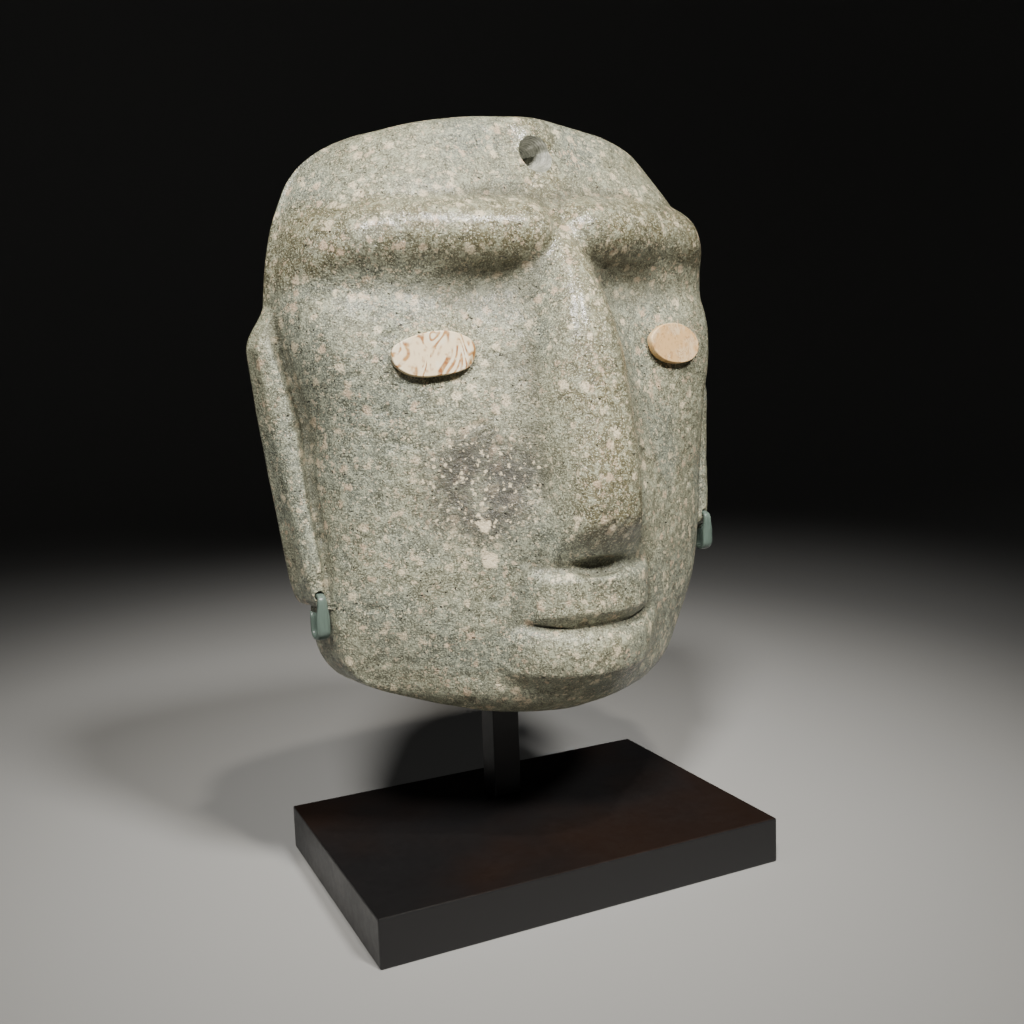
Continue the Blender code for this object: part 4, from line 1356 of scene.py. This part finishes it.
def make_hook(word, sign, finish):
    x, top = hook_seats[word]
    beside = np.linspace(-LOBE_HALF_WIDTH, LOBE_HALF_WIDTH, LOBE_COLUMNS)
    below = np.linspace(-LOBE_ABOVE, LOBE_BELOW, LOBE_ROWS)
    columns, rows = np.meshgrid(x + beside, top - below)
    lobe_front = float(np.max(front_depth(columns.ravel(), rows.ravel())))
    stations = hook_stations(lobe_front + HOOK_CLEARANCE + HOOK_THICKNESS / 2, top)
    places = [Vector((0.0, -depth, height)) for depth, height, _, _ in stations]
    band = bmesh.new()
    rings = []
    for index, (place, (_, _, wide, thick)) in enumerate(zip(places, stations)):
        ahead = places[min(index + 1, len(places) - 1)]
        behind = places[max(index - 1, 0)]
        along = (ahead - behind).normalized()
        out = along.cross(Vector((1.0, 0.0, 0.0)))
        slant = sign * TAIL_SLANT if index == len(places) - 1 else 0.0
        ring = []
        for corner in range(HOOK_SIDES):
            turn = 2 * math.pi * corner / HOOK_SIDES
            a, b = math.cos(turn), math.sin(turn)
            across = math.copysign(abs(a) ** SECTION_ACROSS, a) * wide / 2
            through = math.copysign(abs(b) ** SECTION_THROUGH, b) * thick / 2
            point = Vector((x, 0.0, 0.0)) + place + Vector((across, 0.0, 0.0)) + out * through
            ring.append(band.verts.new((point + along * (across * slant)) * MM))
        rings.append(ring)
    skinned(band, rings)
    bmesh.ops.recalc_face_normals(band, faces=band.faces)
    hook = set_out("green_hook_" + word, band, finish)
    laid_on_seat(hook)
    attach(hook, "root")
    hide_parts("ear_hook_" + word)


hook_stone = polished_green_stone("polished_green_stone")
make_hook("left", -1, hook_stone)
make_hook("right", 1, hook_stone)


# Room
# A pale paper sweep under and behind the stand. Two soft lamps stand high before
# it, with a small warm one above them and a weak broad one at the left.
SWEEP_HALF_WIDTH = 3.0
SWEEP_FRONT = -3.0
SWEEP_BEND_START = 1.0
SWEEP_BEND_RADIUS = 0.8
SWEEP_BEND_STEPS = 12
SWEEP_TOP = 3.0
PAPER_GREY = (0.36, 0.36, 0.355, 1.0)
PAPER_ROUGHNESS = 0.9
sweep = bmesh.new()
profile = [(SWEEP_FRONT, 0.0), (SWEEP_BEND_START, 0.0)]
for step in range(1, SWEEP_BEND_STEPS + 1):
    turn = math.pi / 2 * step / SWEEP_BEND_STEPS
    away = SWEEP_BEND_START + SWEEP_BEND_RADIUS * math.sin(turn)
    profile.append((away, SWEEP_BEND_RADIUS - SWEEP_BEND_RADIUS * math.cos(turn)))
profile.append((SWEEP_BEND_START + SWEEP_BEND_RADIUS, SWEEP_TOP))
rows = [[sweep.verts.new((x, y, z)) for x in (-SWEEP_HALF_WIDTH, SWEEP_HALF_WIDTH)] for y, z in profile]
for low, high in zip(rows, rows[1:]):
    sweep.faces.new((low[0], low[1], high[1], high[0])).smooth = True
paper, _, paper_shader = new_finish("pale_paper")
paper_shader.inputs["Base Color"].default_value = PAPER_GREY
paper_shader.inputs["Roughness"].default_value = PAPER_ROUGHNESS
floor = set_out("paper_sweep", sweep, paper)

LAMP_SPREAD = math.radians(34.0)
LAMP_AIM = Vector((0.0, 0.0, 0.16))
SOFT_WHITE = (1.0, 0.97, 0.92)
WARM_WHITE = (1.0, 0.93, 0.82)
PLAIN_WHITE = (1.0, 1.0, 1.0)
ROOM_COLOUR = (0.84, 0.83, 0.80, 1.0)
ROOM_STRENGTH = 0.02


def hang_lamp(name, place, size, power, colour):
    data = bpy.data.lights.new(name, "AREA")
    data.shape = "DISK"
    data.size = size
    data.energy = power
    data.color = colour
    data.spread = LAMP_SPREAD
    lamp = bpy.data.objects.new(name, data)
    studio.objects.link(lamp)
    lamp.location = place
    lamp.rotation_euler = (LAMP_AIM - Vector(place)).to_track_quat("-Z", "Y").to_euler()


hang_lamp("right_lamp", (0.22, -0.90, 1.14), size=0.24, power=0.80, colour=SOFT_WHITE)
hang_lamp("front_lamp", (-0.52, -0.78, 1.14), size=0.24, power=0.80, colour=SOFT_WHITE)
hang_lamp("top_lamp", (-0.04, -0.62, 1.36), size=0.07, power=0.24, colour=WARM_WHITE)
hang_lamp("left_lamp", (-1.10, -0.10, 0.60), size=0.50, power=0.06, colour=PLAIN_WHITE)
room_light = bpy.data.worlds.new("room_light")
room_light.use_nodes = True
background = room_light.node_tree.nodes["Background"]
background.inputs["Color"].default_value = ROOM_COLOUR
background.inputs["Strength"].default_value = ROOM_STRENGTH
bpy.context.scene.world = room_light
